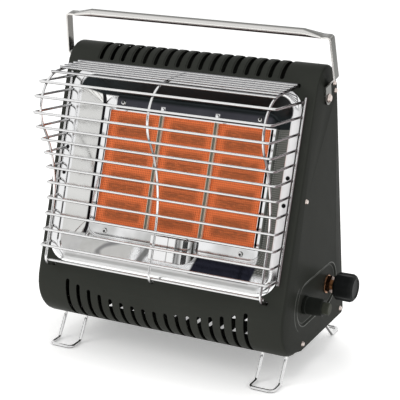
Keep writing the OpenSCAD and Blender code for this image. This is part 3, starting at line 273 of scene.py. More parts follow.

# %% [markdown]
# ## Wire, screws and fittings
# The guard is chrome-plated wire, the handle and feet are plated too, and the tap's fittings are brass.
# All are metals that differ in colour, gloss and how wavy their mirror is, so one function makes them.
# A bright round wire mirrors a dark floor below and a dark room beside it. Real cards could be put
# there, but only for one view, so these are painted reflections instead: the tone follows the direction
# that the surface faces, and on the guard also its place. The tap's nut is a darker copy of the brass,
# as painted shade.

# %% Metals
FACING_SIDE, FACING_UP, FACING_DOWN = (0.70, 0.15), (0.72, 0.20), (-0.30, 0.30)
FLANK_FROM, FACING_RIGHT = (118, 6), (0.52, 0.16)
CROWN_FROM, FACING_SKY = (336, 2), (0.45, 0.25)
DEEPER = 0.94


def metal(name, colour, rough, vary, wave=0.0, wave_scale=60, under=None, top=None, side=None,
          flank=None, crown=None):
    """A metal, with painted reflections where it faces down, up or aside, on its right and at its top."""
    plate = Finish(name, Metallic=1.0)
    tone = plate.cloudy(tuple(c * DEEPER for c in colour), colour, 90)
    # Painted reflections: each tone below stands for something dark that the metal mirrors.
    if side:
        tone = plate.mix(abs(plate.facing()[0]).above(*FACING_SIDE), tone, side)
    if top:
        tone = plate.mix(plate.facing()[2].above(*FACING_UP), tone, top)
    if under:
        tone = plate.mix(plate.facing()[2].below(*FACING_DOWN), tone, under)
    if flank:
        right = plate.where()[0].above(*FLANK_FROM) * plate.facing()[0].above(*FACING_RIGHT)
        tone = plate.mix(right, tone, flank)
    if crown:
        up = plate.front()[1]
        tone = plate.mix(up.above(*CROWN_FROM) * plate.facing()[2].above(*FACING_SKY), tone, crown)
    plate.set(Base_Color=tone, Roughness=plate.noise(300) * vary + rough)
    if wave:
        plate.bump(plate.noise(wave_scale, 2), wave)
    return plate.material


METALS = {
    "zinc_steel": dict(colour=(0.55, 0.56, 0.56), rough=0.30, vary=0.15, wave=0.05 * MM, wave_scale=800),
    "nickel_screws": dict(colour=(0.62, 0.54, 0.50), rough=0.16, vary=0.10, under=(0.10, 0.07, 0.06)),
    "tap_brass": dict(colour=(0.42, 0.22, 0.10), rough=0.25, vary=0.12),
    "washer_brass": dict(colour=(0.52, 0.27, 0.15), rough=0.22, vary=0.12),
    # The nut is a darker copy of the brass: painted shade.
    "nut_brass": dict(colour=(0.12, 0.06, 0.035), rough=0.14, vary=0.10),
    "copper_rod": dict(colour=(0.72, 0.38, 0.20), rough=0.25, vary=0.10),
    "guard_wire": dict(colour=(0.80, 0.80, 0.80), rough=0.12, vary=0.08, wave=0.03 * MM, wave_scale=500,
                       under=(0.10, 0.10, 0.10), flank=(0.17, 0.14, 0.145), crown=(0.17, 0.17, 0.18)),
    "handle_steel": dict(colour=(0.72, 0.71, 0.69), rough=0.16, vary=0.08, wave=0.03 * MM, wave_scale=700,
                         under=(0.10, 0.065, 0.06), top=(0.17, 0.17, 0.16), side=(0.15, 0.15, 0.14)),
    "foot_wire": dict(colour=(0.76, 0.76, 0.76), rough=0.10, vary=0.08, wave=0.03 * MM, wave_scale=500,
                      under=(0.10, 0.10, 0.10)),
}
for name, look in METALS.items():
    finishes[name] = metal(name, **look)
print("metals", len(METALS))

# %% [markdown]
# ## Polished sheet in layers
# The reflector pan is one polished sheet, but its walls don't look alike: each mirrors something else,
# and the top mirrors something dark. Left to a plain mirror, they would change with every lamp and card.
# So each area gets its own tone, a painted reflection cut out of the sheet's place on the leaning face and
# laid over the last one, as a painter lays masks. Where an area stands for a soft mirror image, it is less
# metal.

# %% Sheet in layers
class Sheet(Finish):
    """Polished sheet whose tones are laid one over the other through masks."""

    def __init__(self, name, deep, pale, **sockets):
        super().__init__(name, Metallic=1.0, **sockets)
        self.tone = self.cloudy(deep, pale, 26)
        self.matt = 0

    def lay(self, mask, colour, matt=0.0):
        """Lay a colour on an area, and take that share of its mirror away."""
        self.tone = self.mix(mask, self.tone, colour)
        if matt:
            self.dull(mask * matt)

    def dull(self, mask):
        self.matt = mask.most(self.matt)


def pricked(value, pitch, radius, soft=0.3):
    """A row of small holes along a value: 1 in each hole and 0 between them."""
    return abs(value % pitch - pitch / 2).below(radius, soft)


BRIGHT_DEEP, BRIGHT_PALE = (0.80, 0.81, 0.82), (0.90, 0.90, 0.90)
WALL_DEPTH, SOFT_IMAGE = (-1.6, 0.6), 0.9
pan_steel = Sheet("mirror_steel", BRIGHT_DEEP, BRIGHT_PALE, Specular_IOR_Level=0.0)
across, up, out = pan_steel.front()
walls = out.below(*WALL_DEPTH)
print("pan steel, with walls from", WALL_DEPTH[0], "mm")

# %% [markdown]
# ### The pan's side walls
# The left wall mirrors a pale room with faint clouds, between two bends that mirror something dark, and
# all three are painted reflections. The right wall mirrors the burner's fine holes, so it is painted a dark
# grey with a prick of light for each. Beside it the rim is painted plain and pale as a soft reflection, up
# to a line of painted shade under the guard's end wire, and at the top the rim lies in the guard's shade.

# %% Pan side walls
LEFT_WALL, LEFT_GREYS = (-136.2, -113.2, 0.6), ((0.58, 0.58, 0.565), (0.76, 0.76, 0.745))
OUTER_BEND, INNER_BEND, BEND_REACH = (-139.0, -135.8, 0.5), (-116.2, -112.6, 0.4), (152, 330, 4)
BEND_DARK = (0.012, 0.012, 0.013)
pan_steel.lay(across.within(*LEFT_WALL) * walls, pan_steel.cloudy(*LEFT_GREYS, 16, 2, 0.4, (1, 1, 1.8)))
# Painted dark reflections in the two bends.
bends = across.within(*OUTER_BEND).most(across.within(*INNER_BEND)) * up.within(*BEND_REACH) * walls
pan_steel.lay(bends, BEND_DARK)

RIGHT_WALL, RIGHT_TONE_END, RIGHT_TOP, RIGHT_FOOT = (109.8, 139.8, 0.6), (137.2, 0.5), (322, 3), (140, 4)
RIGHT_GREYS, HOLE_GREY = ((0.062, 0.066, 0.058), (0.125, 0.128, 0.115)), (0.25, 0.25, 0.235)
HOLE_PITCH, HOLE_R = 2.4, 0.6
right_wall = across.within(*RIGHT_WALL) * up.below(*RIGHT_TOP) * up.above(*RIGHT_FOOT) * walls
mirrored_holes = pricked(up, HOLE_PITCH, HOLE_R) * pricked(out, HOLE_PITCH, HOLE_R)
right_tone = pan_steel.mix(mirrored_holes, pan_steel.cloudy(*RIGHT_GREYS, 60, 2), HOLE_GREY)
pan_steel.lay(right_wall * across.below(*RIGHT_TONE_END), right_tone)
pan_steel.dull(right_wall)

RIM_STRIP, RIM_STRIP_HEIGHT, RIM_PALE = (135.0, 146.2, 0.4), (150, 330, 6), (0.86, 0.845, 0.845)
RIM_EDGE, RIM_EDGE_HEIGHT, RIM_DARK = (146.2, 0.3), (140, 340, 4), (0.012, 0.010, 0.010)
SHADE_FROM, SHADE_WIDTH = (344.8, 0.6), (-132, 132, 12)
SHADE_GREYS = ((0.16, 0.16, 0.17), (0.50, 0.50, 0.52))
rim_strip = across.within(*RIM_STRIP) * up.within(*RIM_STRIP_HEIGHT) * (1 - walls)
pan_steel.lay(rim_strip, RIM_PALE, matt=SOFT_IMAGE)
# Painted shade: a dark line under the guard's end wire.
pan_steel.lay(across.above(*RIM_EDGE) * up.within(*RIM_EDGE_HEIGHT), RIM_DARK, matt=1.0)
shade = up.above(*SHADE_FROM) * across.within(*SHADE_WIDTH)
pan_steel.lay(shade, pan_steel.cloudy(*SHADE_GREYS, 30, 2, 0.5, (0.4, 1, 1)))
print("side walls", LEFT_WALL[:2], RIGHT_WALL[:2], "mm")

# %% [markdown]
# ### The dark top
# The top wall hangs over the burner and mirrors something dark, so a blue-black painted reflection covers
# it down to the windows. Two small nubs stay bright. A paler painted band lies just above the windows,
# where the wall bends into the floor, and the dark area's left end runs down at a slant, so its height is
# lowered there before the mask is cut.

# %% Dark top
DIVIDER_X = 35.5
SLANT, SLANT_FROM = 0.25, -115
BLUED_FROM, BLUED_LEFT, BLUED_OUT = (322.2, 1.2), (-139.0, 0.8), (0.2, 0.8)
FLANGE_FROM, FLANGE_LEFT = (307.3, 0.4), (-98.0, 0.8)
NUB_HALF, NUB_HEIGHT = (2.7, 0.4), (308.5, 316.0, 0.6)
BAND, BAND_HALF = (311.2, 319.5, 2.2), (104, 4)
slanted = up - SLANT * (SLANT_FROM - across).most(0)
hood = slanted.above(*BLUED_FROM) * across.above(*BLUED_LEFT) * out.below(*BLUED_OUT)
flange = up.above(*FLANGE_FROM) * across.above(*FLANGE_LEFT) * walls
nubs = abs(abs(across) - DIVIDER_X).below(*NUB_HALF) * up.within(*NUB_HEIGHT)
# Painted reflection: the top wall and its flange mirror something dark.
dark_top_reflection = hood.most(flange) * (1 - nubs)
blue_black = pan_steel.cloudy((0.013, 0.016, 0.017), (0.022, 0.026, 0.028), 30)
blue_grey = pan_steel.cloudy((0.040, 0.041, 0.050), (0.075, 0.075, 0.088), 30)
band = up.within(*BAND) * abs(across).below(*BAND_HALF)
pan_steel.lay(dark_top_reflection, pan_steel.mix(band, blue_black, blue_grey))
print("blued from", FLANGE_FROM[0], "mm up the slope")

# %% [markdown]
# ### The lower wall
# The lower wall looks up at everything, and what it mirrors is painted on it: pale clouds with darker
# lines on the left, the pilot cover's tube in the middle and the dark top on the right. The lines come
# from a noise's middle value, which is a thin curve wherever the noise passes it. The lower left corner
# and the bend below the wall get soft painted reflections.

# %% Lower wall
LOW_WALL, LOW_DEPTH = (130.2, 150.0, 1.6), (-3, 1)
CLOUDS, CLOUD_MIDDLE, CLOUD_LINE = (-119.0, -44.0, 4), 0.52, (0.022, 0.018)
CLOUD_PALE, CLOUD_DARK = (0.62, 0.62, 0.60), (0.27, 0.27, 0.27)
TUBE, TUBE_SLANT, TUBE_SHIFT, TUBE_GREY = (-5.5, 3.5, 2.2), 0.18, 52.8, (0.16, 0.16, 0.155)
MIRRORED_TOP, MIRRORED_BLUE = (36.5, 112.0, 1.6), (0.017, 0.018, 0.028)
low_wall = up.within(*LOW_WALL) * out.below(*LOW_DEPTH)
swirl = abs(pan_steel.noise(20, 1, 0.3, (0.7, 1, 1)) - CLOUD_MIDDLE)
pan_steel.lay(low_wall * across.within(*CLOUDS),
              pan_steel.mix(swirl.below(*CLOUD_LINE), CLOUD_PALE, CLOUD_DARK), matt=SOFT_IMAGE)
tube = low_wall * (across - up * TUBE_SLANT + TUBE_SHIFT).within(*TUBE)
pan_steel.lay(tube * 0.9, TUBE_GREY)
pan_steel.dull(tube * 0.8)

CORNER, CORNER_HEIGHT = (-136.2, -113.0, 0.8), (129.0, 154.5, 1.5)
LIP, LIP_HALF, LIP_MIDDLE = (121.5, 132.5, 0.8), (126, 4), (125.5, 129.0, 1.0)
pan_steel.lay(across.within(*CORNER) * up.within(*CORNER_HEIGHT) * walls,
              pan_steel.cloudy((0.50, 0.50, 0.49), (0.74, 0.74, 0.73), 40, 2), matt=SOFT_IMAGE)
pan_steel.lay(up.within(*LIP) * abs(across).below(*LIP_HALF),
              pan_steel.mix(up.within(*LIP_MIDDLE), (0.76, 0.76, 0.75), (0.52, 0.52, 0.51)), matt=SOFT_IMAGE)
pan_steel.lay(low_wall * across.within(*MIRRORED_TOP), MIRRORED_BLUE)
print("lower wall", LOW_WALL[:2], "mm")

# %% [markdown]
# ### Windows, dividers and rim holes
# The burner shows through three windows. Thin lines of painted shade run along their outer ends and feet,
# where the plaques sit below the frame, and the dividers between them get painted reflections: warm edges
# round a grey middle. Two holes sit in the rim on each side, painted dark. All are a few millimetres wide,
# so they are masks: a hole is where the squared distance from its middle is small. Grey patches on the
# ledge below the windows are painted reflections too.

# %% Windows
WINDOW, END_GAP, END_GAP_HEIGHT = (171.5, 305.5, 0.6), (104.6, 106.8, 0.3), (171.0, 306.0, 0.6)
FOOT_GAP, FOOT_GAP_HALF = (168.2, 170.0, 0.3), (106.0, 0.6)
RIM_HOLE_X, RIM_HOLE_HEIGHTS, RIM_HOLE_R, RIM_FLAT = 141.8, (254.0, 223.5), 2.5, (0.5, 1.5, 0.1)
DIVIDER_HALF, DIVIDER_MIDDLE = (3.3, 0.3), (1.8, 0.6)
LEDGE, LEDGE_DEPTH, LEDGE_HALF = (150.0, 168.0, 1.0), (-30, -22, 1), (112, 1)
# Painted shade along the windows' outer ends and feet, and the rim holes painted dark.
gaps = abs(across).within(*END_GAP) * up.within(*END_GAP_HEIGHT)
gaps = gaps.most(up.within(*FOOT_GAP) * abs(across).below(*FOOT_GAP_HALF))
aside = abs(abs(across) - RIM_HOLE_X)
for height in RIM_HOLE_HEIGHTS:
    away = aside * aside + (up - height) * (up - height)
    gaps = gaps.most(away.below(RIM_HOLE_R ** 2, 1.2) * out.within(*RIM_FLAT))
window = up.within(*WINDOW) * walls
divider = abs(abs(across) - DIVIDER_X)
# Painted reflections on the dividers.
pan_steel.lay(divider.below(*DIVIDER_HALF) * window, (0.66, 0.50, 0.38), matt=SOFT_IMAGE)
pan_steel.lay(divider.below(*DIVIDER_MIDDLE) * window, (0.22, 0.22, 0.18))
# Painted reflection: grey patches on the ledge below the windows.
ledge = up.within(*LEDGE) * out.within(*LEDGE_DEPTH) * abs(across).below(*LEDGE_HALF)
pan_steel.lay(ledge * pan_steel.noise(22, 2, 0.4).below(0.50, 0.10) * 0.8, (0.44, 0.44, 0.43))
pan_steel.lay(gaps, (0.010, 0.010, 0.010))
pan_steel.set(Base_Color=pan_steel.tone, Metallic=1 - pan_steel.matt,
              Roughness=pan_steel.noise(200, 2) * 0.05 + 0.06 + dark_top_reflection * 0.22)
pan_steel.bump(pan_steel.noise(45, 2), 0.12 * MM)
finishes["mirror_steel"] = pan_steel.material
print("pan steel nodes", len(pan_steel.tree.nodes))

# %% [markdown]
# ## Pilot cover and frame screws
# The pilot's cover is bright sheet folded to a flat and a tube, and each fold gets a painted dark streak,
# a reflection of something dark. The frame's four screws have bright rims round sunk middles painted dark
# with shade. Both sit on the leaning face, so their places on it are enough to draw streaks and middles.

# %% Cover and screws
STREAKS = (((15.0, 20.0, 3.5), 1.0), ((29.0, 34.5, 2.2), 0.8), ((2.2, 3.6, 0.4), 0.6))
BURNER_V = 238.5
FRAME_SCREW_X, FRAME_SCREW_V, SUNK_R = 89, 77.5, 1.6


def folded(name):
    cover = Sheet(name, (0.82, 0.82, 0.82), (0.92, 0.92, 0.92), Roughness=0.08)
    across, streak = cover.where()[0], 0
    for span, strength in STREAKS:
        streak = (across.within(*span) * strength).most(streak)
    # Painted dark reflections along the folds.
    cover.lay(streak * 0.9, (0.09, 0.09, 0.085))
    cover.set(Base_Color=cover.tone)
    cover.bump(cover.noise(45, 2), 0.1 * MM)
    return cover.material


def slotted_heads(name):
    heads = Finish(name, Metallic=1.0, Roughness=0.2)
    across, up = heads.front()[:2]
    dx, dv = abs(across) - FRAME_SCREW_X, abs(up - BURNER_V) - FRAME_SCREW_V
    # Painted shade in the screws' sunk middles.
    sunk_shade = (dx * dx + dv * dv).below(SUNK_R ** 2, 1.0)
    heads.set(Base_Color=heads.mix(sunk_shade, (0.80, 0.80, 0.79), (0.03, 0.03, 0.03)))
    return heads.material


for name, make in (("shield_steel", folded), ("slotted_heads", slotted_heads)):
    finishes[name] = make(name)
print("streaks", len(STREAKS), "and screw middles", SUNK_R * 2, "mm across")

# %% [markdown]
# ## Burner ceramic
# Each plaque is a block of orange ceramic with a field of fine holes. Its face has four pairs of sunk
# rows, darker than the borders. Thousands of modelled holes would cost far too many faces, so they are a
# grid of dots in colour and bump, each dot darkened with painted shade. The rows come from the height on
# the leaning face, and a slow noise lets their edges wander, as scorched clay does. A faint glow in the
# ceramic's own colour is painted light, which keeps the plaques bright in the pan's shade.

# %% Ceramic
PLAQUE_PITCH, PLAQUE_HALF_HEIGHT = 71, (65.5, 3)
ROW_PITCH, ROW_SHIFT, ROW_EDGE, ROW_GAP, ROW_HALF = 33.5, 0.5, 11.8, 1.6, 23.5
HOLE_STEPS, HOLE_RADII, HOLE_SHIFT = (2.4, 2.6), (0.6, 0.7), 0.8
CLAY, CLAY_ROW, CLAY_DULL = (0.72, 0.162, 0.052), (0.24, 0.068, 0.025), (0.52, 0.14, 0.045)
CLAY_STREAK, CLAY_HOLE = (0.62, 0.15, 0.045), (0.26, 0.055, 0.02)


def ceramic():
    # The emission is a painted glow, not a lamp.
    clay = Finish("burner_ceramic", Specular_IOR_Level=0.2, Emission_Strength=0.22)
    x, up = clay.front()[:2]
    up = up - BURNER_V
    from_middle = abs((x + PLAQUE_PITCH * 1.5) % PLAQUE_PITCH - PLAQUE_PITCH / 2)
    wander = (clay.noise(45) - 0.5) * 6
    from_row = abs((up + ROW_SHIFT + ROW_PITCH * 2) % ROW_PITCH - ROW_PITCH / 2)
    rows = (from_row + wander).below(ROW_EDGE, 4) * (1 - from_row.below(ROW_GAP, ROW_GAP) * 0.55)
    rows = rows * ((from_middle + wander).below(ROW_HALF, 5) * abs(up).below(*PLAQUE_HALF_HEIGHT))
    holes = (pricked(x + HOLE_SHIFT, HOLE_STEPS[0], HOLE_RADII[0])
             * pricked(up + HOLE_SHIFT, HOLE_STEPS[1], HOLE_RADII[1]))
    streaks = clay.noise(500, 2, 0.6, (0.25, 1.6, 1.6)).below(0.47, 0.06) * rows
    tone = clay.mix(clay.noise(60, 4) * 0.35, clay.mix(rows, CLAY, CLAY_ROW), CLAY_DULL)
    tone = clay.mix(streaks * 0.45, tone, CLAY_STREAK)
    tone = clay.mix(holes * 0.6, tone, CLAY_HOLE)
    clay.set(Base_Color=tone, Emission_Color=tone, Roughness=0.85 - 0.1 * rows)
    clay.bump(0 - holes - rows * 0.3, 0.5 * MM)
    return clay.material


finishes["burner_ceramic"] = ceramic()
print("rows every", ROW_PITCH, "mm, holes every", HOLE_STEPS, "mm")

# %% [markdown]
# ## Moulded plastic and fibre
# The knob and the igniter are black plastic with a fine grain from the mould, and the leads' sleeves,
# the insulators and the gasket are close relatives. They differ in colour, gloss and grain alone, so
# again one function makes them all from a table.

# %% Plain finishes
def moulded(name, colour, rough, grain=0.03 * MM, gloss=0.5):
    plastic = Finish(name, Specular_IOR_Level=gloss)
    plastic.set(Base_Color=plastic.cloudy(colour, tuple(c * 1.35 + 0.002 for c in colour), 120),
                Roughness=plastic.noise(400, 2) * 0.12 + rough)
    plastic.bump(plastic.noise(2200, 2), grain)
    return plastic.material


MOULDED = {
    "knob_black": dict(colour=(0.0075, 0.0082, 0.0080), rough=0.36, gloss=0.05),
    "piezo_black": dict(colour=(0.0075, 0.0085, 0.0070), rough=0.38, gloss=0.06),
    "button_olive": dict(colour=(0.030, 0.032, 0.024), rough=0.42, gloss=0.06),
    "white_ceramic": dict(colour=(0.72, 0.72, 0.69), rough=0.18),
    "lead_sleeve": dict(colour=(0.015, 0.015, 0.015), rough=0.55),
    "gasket_fibre": dict(colour=(0.75, 0.74, 0.70), rough=0.85, grain=0.4 * MM),
}
for name, look in MOULDED.items():
    finishes[name] = moulded(name, **look)
print("finishes", len(finishes))

# %% [markdown]
# ## A piece for a node
# Each new piece rides on its node's body, stands for the node and takes its slot's finish. Two helpers
# say that once: `new_piece` turns a bmesh into an object at the origin, and `dress` gives it its finish
# and its place in the model.

# %% Piece helpers
node_slot = {s["node"]: s["material_slot"] for s in frame["record"]["subparts"]}


def new_piece(name, bm):
    mesh = bpy.data.meshes.new(name)
    bm.to_mesh(mesh)
    bm.free()
    piece = bpy.data.objects.new(name, mesh)
    bpy.context.scene.collection.objects.link(piece)
    return piece


def dress(piece, node, finish=None):
    piece.data.materials.clear()
    piece.data.materials.append(finishes[finish or node_slot[node]])
    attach(piece, frame["nodes"][node]["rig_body"])
    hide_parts(node)


print("slots", sorted(set(node_slot.values())))

# %% [markdown]
# ## A tighter crown
# The case's top is a long round crown that meets the flat sides in a small bend. In the solid that bend
# has a radius of 7 mm, and a real press folds it tighter. The copy could be rebuilt, but it only needs
# its bend's vertices drawn outwards: each keeps its angle round the bend while the radius shrinks.

# %% Crown
CASE_HALF, SIDE_R, TIGHT_R, CROWN_R = 160 * MM, 7 * MM, 3.5 * MM, 31.445 * MM
CROWN_MIDDLE = Vector((22.3735 * MM, 327.05 * MM))
FRONT_OUT = Vector((-math.cos(LEAN), math.sin(LEAN)))
CROWN_BACK, FADE_FROM, FADE_OVER, SKIN, NOTHING = 29 * MM, 300 * MM, 26 * MM, 1.5 * MM, 1e-6


def ramp(value, start, length):
    """0 before the start, 1 a length after it, and a straight rise between."""
    return min(max((value - start) / length, 0), 1)


def tighten_crown(bm):
    slack = SIDE_R - TIGHT_R
    moved = 0
    for v in bm.verts:
        arm = Vector((v.co.y, v.co.z)) - CROWN_MIDDLE
        out = arm.normalized() if arm.x * FRONT_OUT.y > arm.y * FRONT_OUT.x else FRONT_OUT
        at = Vector((abs(v.co.x) - (CASE_HALF - SIDE_R), arm.dot(out) - (CROWN_R - SIDE_R)))
        if min(at) < -NOTHING or at.length < SIDE_R - SKIN or arm.x > CROWN_BACK:
            continue
        shift = at.normalized() * (at.length - slack) + Vector((slack, slack)) - at
        shift *= ramp(v.co.z, FADE_FROM, FADE_OVER)
        v.co.x += math.copysign(shift.x, v.co.x)
        v.co.y += out.x * shift.y
        v.co.z += out.y * shift.y
        moved += shift.length > NOTHING
    print("crown vertices drawn out", moved)


print("crown bend from", SIDE_R / MM, "to", TIGHT_R / MM, "mm")

# %% [markdown]
# ## Pressed rows
# A press sinks eight shallow rows into each plaque's face. Boolean cuts could do it, but the face is
# flat, so planes cut it where the rows end, and each row's face is inset and pushed in. The mesh is laid
# flat in millimetres for this, with the leaning face as its top, and put back afterwards.

# %% Rows
FRONT_MM = (Matrix.Translation((0, FRONT_Y * MM, 0)) @ Matrix.Rotation(math.pi / 2 - LEAN, 4, "X")
            @ Matrix.Scale(MM, 4))
ROW_BORDER, ROW_DEPTH = 1.4, 0.7
ROW_MIDDLES = [BURNER_V - ROW_SHIFT + (i - 1.5) * ROW_PITCH for i in range(4)]
PLAQUE_MIDDLES = [i * PLAQUE_PITCH for i in (-1, 0, 1)]


def press_rows(bm):
    bm.transform(FRONT_MM.inverted())
    cuts = [((x + half, 0, 0), (1, 0, 0)) for x in PLAQUE_MIDDLES for half in (-ROW_HALF, ROW_HALF)]
    for v in ROW_MIDDLES:
        cuts += [((0, v + edge, 0), (0, 1, 0)) for edge in (-ROW_EDGE, -ROW_GAP, ROW_GAP, ROW_EDGE)]
    for at, normal in cuts:
        bmesh.ops.bisect_plane(
            bm, geom=bm.verts[:] + bm.edges[:] + bm.faces[:], plane_co=at, plane_no=normal)
    bm.normal_update()
    upper = [face for face in bm.faces if face.normal.z > 0.9]
    face_level = max(face.calc_center_median().z for face in upper)
    rows = []
    for face in upper:
        at = face.calc_center_median()
        on_row = any(ROW_GAP < abs(at.y - v) < ROW_EDGE for v in ROW_MIDDLES)
        in_width = any(abs(at.x - x) < ROW_HALF for x in PLAQUE_MIDDLES)
        if face_level - at.z < 0.1 and on_row and in_width:
            rows.append(face)
    bmesh.ops.inset_individual(bm, faces=rows, thickness=ROW_BORDER, depth=-ROW_DEPTH, use_even_offset=True)
    bm.transform(FRONT_MM)
    print("pressed rows", len(rows))


print("row middles", ROW_MIDDLES, "mm up the slope")

# %% [markdown]
# ## Smooth copies of the solids
# A solid arrives as loose triangles with hard edges. Most pieces only need what a real edge has: a small
# round that catches light, and smooth shading on what is round. So a copy is merged, its flat triangles
# are dissolved and its sharp edges get a narrow bevel. Wire and thin casing stay without one, because
# it would eat into them. Three pieces are left out here and made anew below.

# %% Smooth copies
SOFT_EDGE, WELD, FLAT_ANGLE = 0.25 * MM, 0.002 * MM, math.radians(0.8)
SHARP_DEGREES, SHEET_DEGREES = 32, 20
REMADE = {"reflector", "control_knob", "igniter_body"}
UNBEVELLED, SHEET_LIKE = {"wire_guard", "front_casing"}, {"front_casing", "plaques"}
OWN_FINISH = {"pilot_shield": "shield_steel", "frame_screws": "slotted_heads", "tap_washer": "washer_brass",
              "tap_nut": "nut_brass", "igniter_button": "button_olive"}


def smooth_copy(node):
    bm = bmesh.new()
    bm.from_mesh(frame["nodes"][node].data)
    bmesh.ops.remove_doubles(bm, verts=bm.verts, dist=WELD)
    if node == "front_casing":
        tighten_crown(bm)
    bmesh.ops.dissolve_limit(
        bm, angle_limit=FLAT_ANGLE, verts=bm.verts, edges=bm.edges, delimit={"SHARP"})
    if node == "plaques":
        press_rows(bm)
    sharp = math.radians(SHEET_DEGREES if node in SHEET_LIKE else SHARP_DEGREES)
    for face in bm.faces:
        face.smooth = True
    for edge in bm.edges:
        edge.smooth = len(edge.link_faces) == 2 and edge.calc_face_angle(0) < sharp
    piece = new_piece(node + "_piece", bm)
    if node not in UNBEVELLED:
        soft = piece.modifiers.new("soft_edges", "BEVEL")
        soft.width = SOFT_EDGE
        soft.segments = 2
        soft.limit_method = "ANGLE"
        soft.angle_limit = sharp
        soft.harden_normals = True
    dress(piece, node, OWN_FINISH.get(node))


for node in frame["nodes"]:
    if node not in REMADE:
        smooth_copy(node)
print("smooth copies", len(frame["nodes"]) - len(REMADE), "for", len(frame["nodes"]), "nodes")

# %% [markdown]
# ## Outlines and rounded sections
# Pressed and turned shapes both start from a section with rounded corners, and the pan also needs
# rounded rectangles. `outline` draws one as a closed loop of edges, always with the same number of
# vertices, so two loops bridge cleanly. `rounded_section` puts an arc in place of each inner corner.

# %% Outline and section
def outline(bm, half, low, high, radius, out, steps=10):
    """A closed loop of edges round a rounded rectangle on the front."""
    top, foot = high - radius, low + radius
    verts = []
    for sx, v, start in ((1, top, 0), (-1, top, 90), (-1, foot, 180), (1, foot, 270)):
        for i in range(steps + 1):
            a = math.radians(start + 90 * i / steps)
            verts.append(bm.verts.new(
                (sx * (half - radius) + radius * math.cos(a), v + radius * math.sin(a), out)))
    return [bm.edges.new(pair) for pair in zip(verts, verts[1:] + verts[:1])]


def rounded_section(points, radius, steps):
    """The section's points with its inner corners replaced by arcs."""
    path = [Vector(points[0])]
    for a, b, c in zip(points, points[1:], points[2:]):
        a, b, c = Vector(a), Vector(b), Vector(c)
        u, w = (a - b).normalized(), (c - b).normalized()
        half = u.angle(w) / 2
        reach = radius / math.tan(half)
        centre = b + (u + w).normalized() * (radius / math.sin(half))
        first, last = b + u * reach - centre, b + w * reach - centre
        turn = first.angle_signed(last)
        path += [centre + Matrix.Rotation(-turn * i / steps, 2) @ first for i in range(steps + 1)]
    return path + [Vector(points[-1])]


print("a square corner becomes", len(rounded_section([(0, 0), (10, 0), (10, 10)], 2, 6)), "points")

# %% [markdown]
# ## The pressed pan
# The pan is one sheet: a flat rim, a bend into four sloping walls, and a bend into the floor round the
# windows. Four outlines fix it, each as half width, low, high and corner radius in millimetres. Loops
# between them follow the rounded section, because a press can't fold a sharp corner. Bridged loops give
# clean strips, and Solidify then gives the skin its sheet's thickness.

# %% Reflector
RIM = (147.5, 118.97, 352.08, 26.0)
MOUTH = (137.0, 126.47, 344.58, 18.5)
PAN_FLOOR = (115.0, 153.02, 324.02, 18.5)
OPENING = (107.6, 169.7, 307.3, 8.0)
RIM_TOP, FLOOR_LEVEL, BEND_R, SHEET_THICKNESS = 1.1, -25.0, 4.0, 0.8 * MM
SECTION_START, SECTION_END, BEND_STEPS = -4, 29, 6
RIM_RUN, WALL_RUN, FLOOR_RUN = RIM[0] - MOUTH[0], MOUTH[0] - PAN_FLOOR[0], PAN_FLOOR[0] - OPENING[0]
EDGE_DROP, EDGE_SHARE = 0.5, 0.08


def blend(a, b, t):
    return tuple(p + (q - p) * t for p, q in zip(a, b))


def pan_outline(inset):
    """The pan's outline at a distance inwards from its mouth."""
    if inset < 0:
        return blend(RIM, MOUTH, 1 + inset / RIM_RUN)
    if inset > WALL_RUN:
        return blend(PAN_FLOOR, OPENING, (inset - WALL_RUN) / FLOOR_RUN)
    return blend(MOUTH, PAN_FLOOR, inset / WALL_RUN)


section = rounded_section([(SECTION_START, RIM_TOP), (0, RIM_TOP), (WALL_RUN, FLOOR_LEVEL),
                           (SECTION_END, FLOOR_LEVEL)], BEND_R, BEND_STEPS)
bm = bmesh.new()
loops = [outline(bm, *RIM, RIM_TOP - EDGE_DROP), outline(bm, *blend(RIM, MOUTH, EDGE_SHARE), RIM_TOP)]
loops += [outline(bm, *pan_outline(inset), level) for inset, level in section[1:-1]]
loops.append(outline(bm, *OPENING, FLOOR_LEVEL))
for a, b in zip(loops, loops[1:]):
    bmesh.ops.bridge_loops(bm, edges=a + b)
bmesh.ops.recalc_face_normals(bm, faces=bm.faces)
bm.transform(FRONT_MM)
for face in bm.faces:
    face.smooth = True
rim_face = max(bm.faces, key=lambda face: abs(face.normal.y))
if rim_face.normal.y > 0:
    bmesh.ops.reverse_faces(bm, faces=bm.faces)
pan = new_piece("pan_sheet", bm)
sheet = pan.modifiers.new("sheet", "SOLIDIFY")
sheet.thickness = SHEET_THICKNESS
sheet.offset = -1
dress(pan, "reflector")
print("pan faces", len(pan.data.polygons), "from", len(loops), "loops")

# %% [markdown]
# ## Knob and igniter
# Both are turned shapes, so half of a section is drawn as a few vertices and spun about a line along x.
# The knob then gets its eight soft lobes and the igniter's collar its fine ribs, by moving the spun
# vertices in and out: that keeps one clean skin, where separate ribs would leave seams in it.

# %% Turned skins
def turned(points, radius, steps):
    """A skin turned about the x axis, from places along it and radii in millimetres."""
    bm = bmesh.new()
    verts = [bm.verts.new((at.x, at.y, 0)) for at in rounded_section(points, radius, 4)]
    edges = [bm.edges.new(pair) for pair in zip(verts, verts[1:])]
    bmesh.ops.spin(bm, geom=verts + edges, cent=(0, 0, 0), axis=(1, 0, 0), angle=2 * math.pi,
                   steps=steps, use_merge=True)
    bmesh.ops.remove_doubles(bm, verts=bm.verts, dist=0.001)
    bmesh.ops.recalc_face_normals(bm, faces=bm.faces)
    for face in bm.faces:
        face.smooth = True
    return bm


def swell(v, share):
    """Move a vertex away from the axis by a share of its distance."""
    v.co.y, v.co.z = v.co.y * share, v.co.z * share


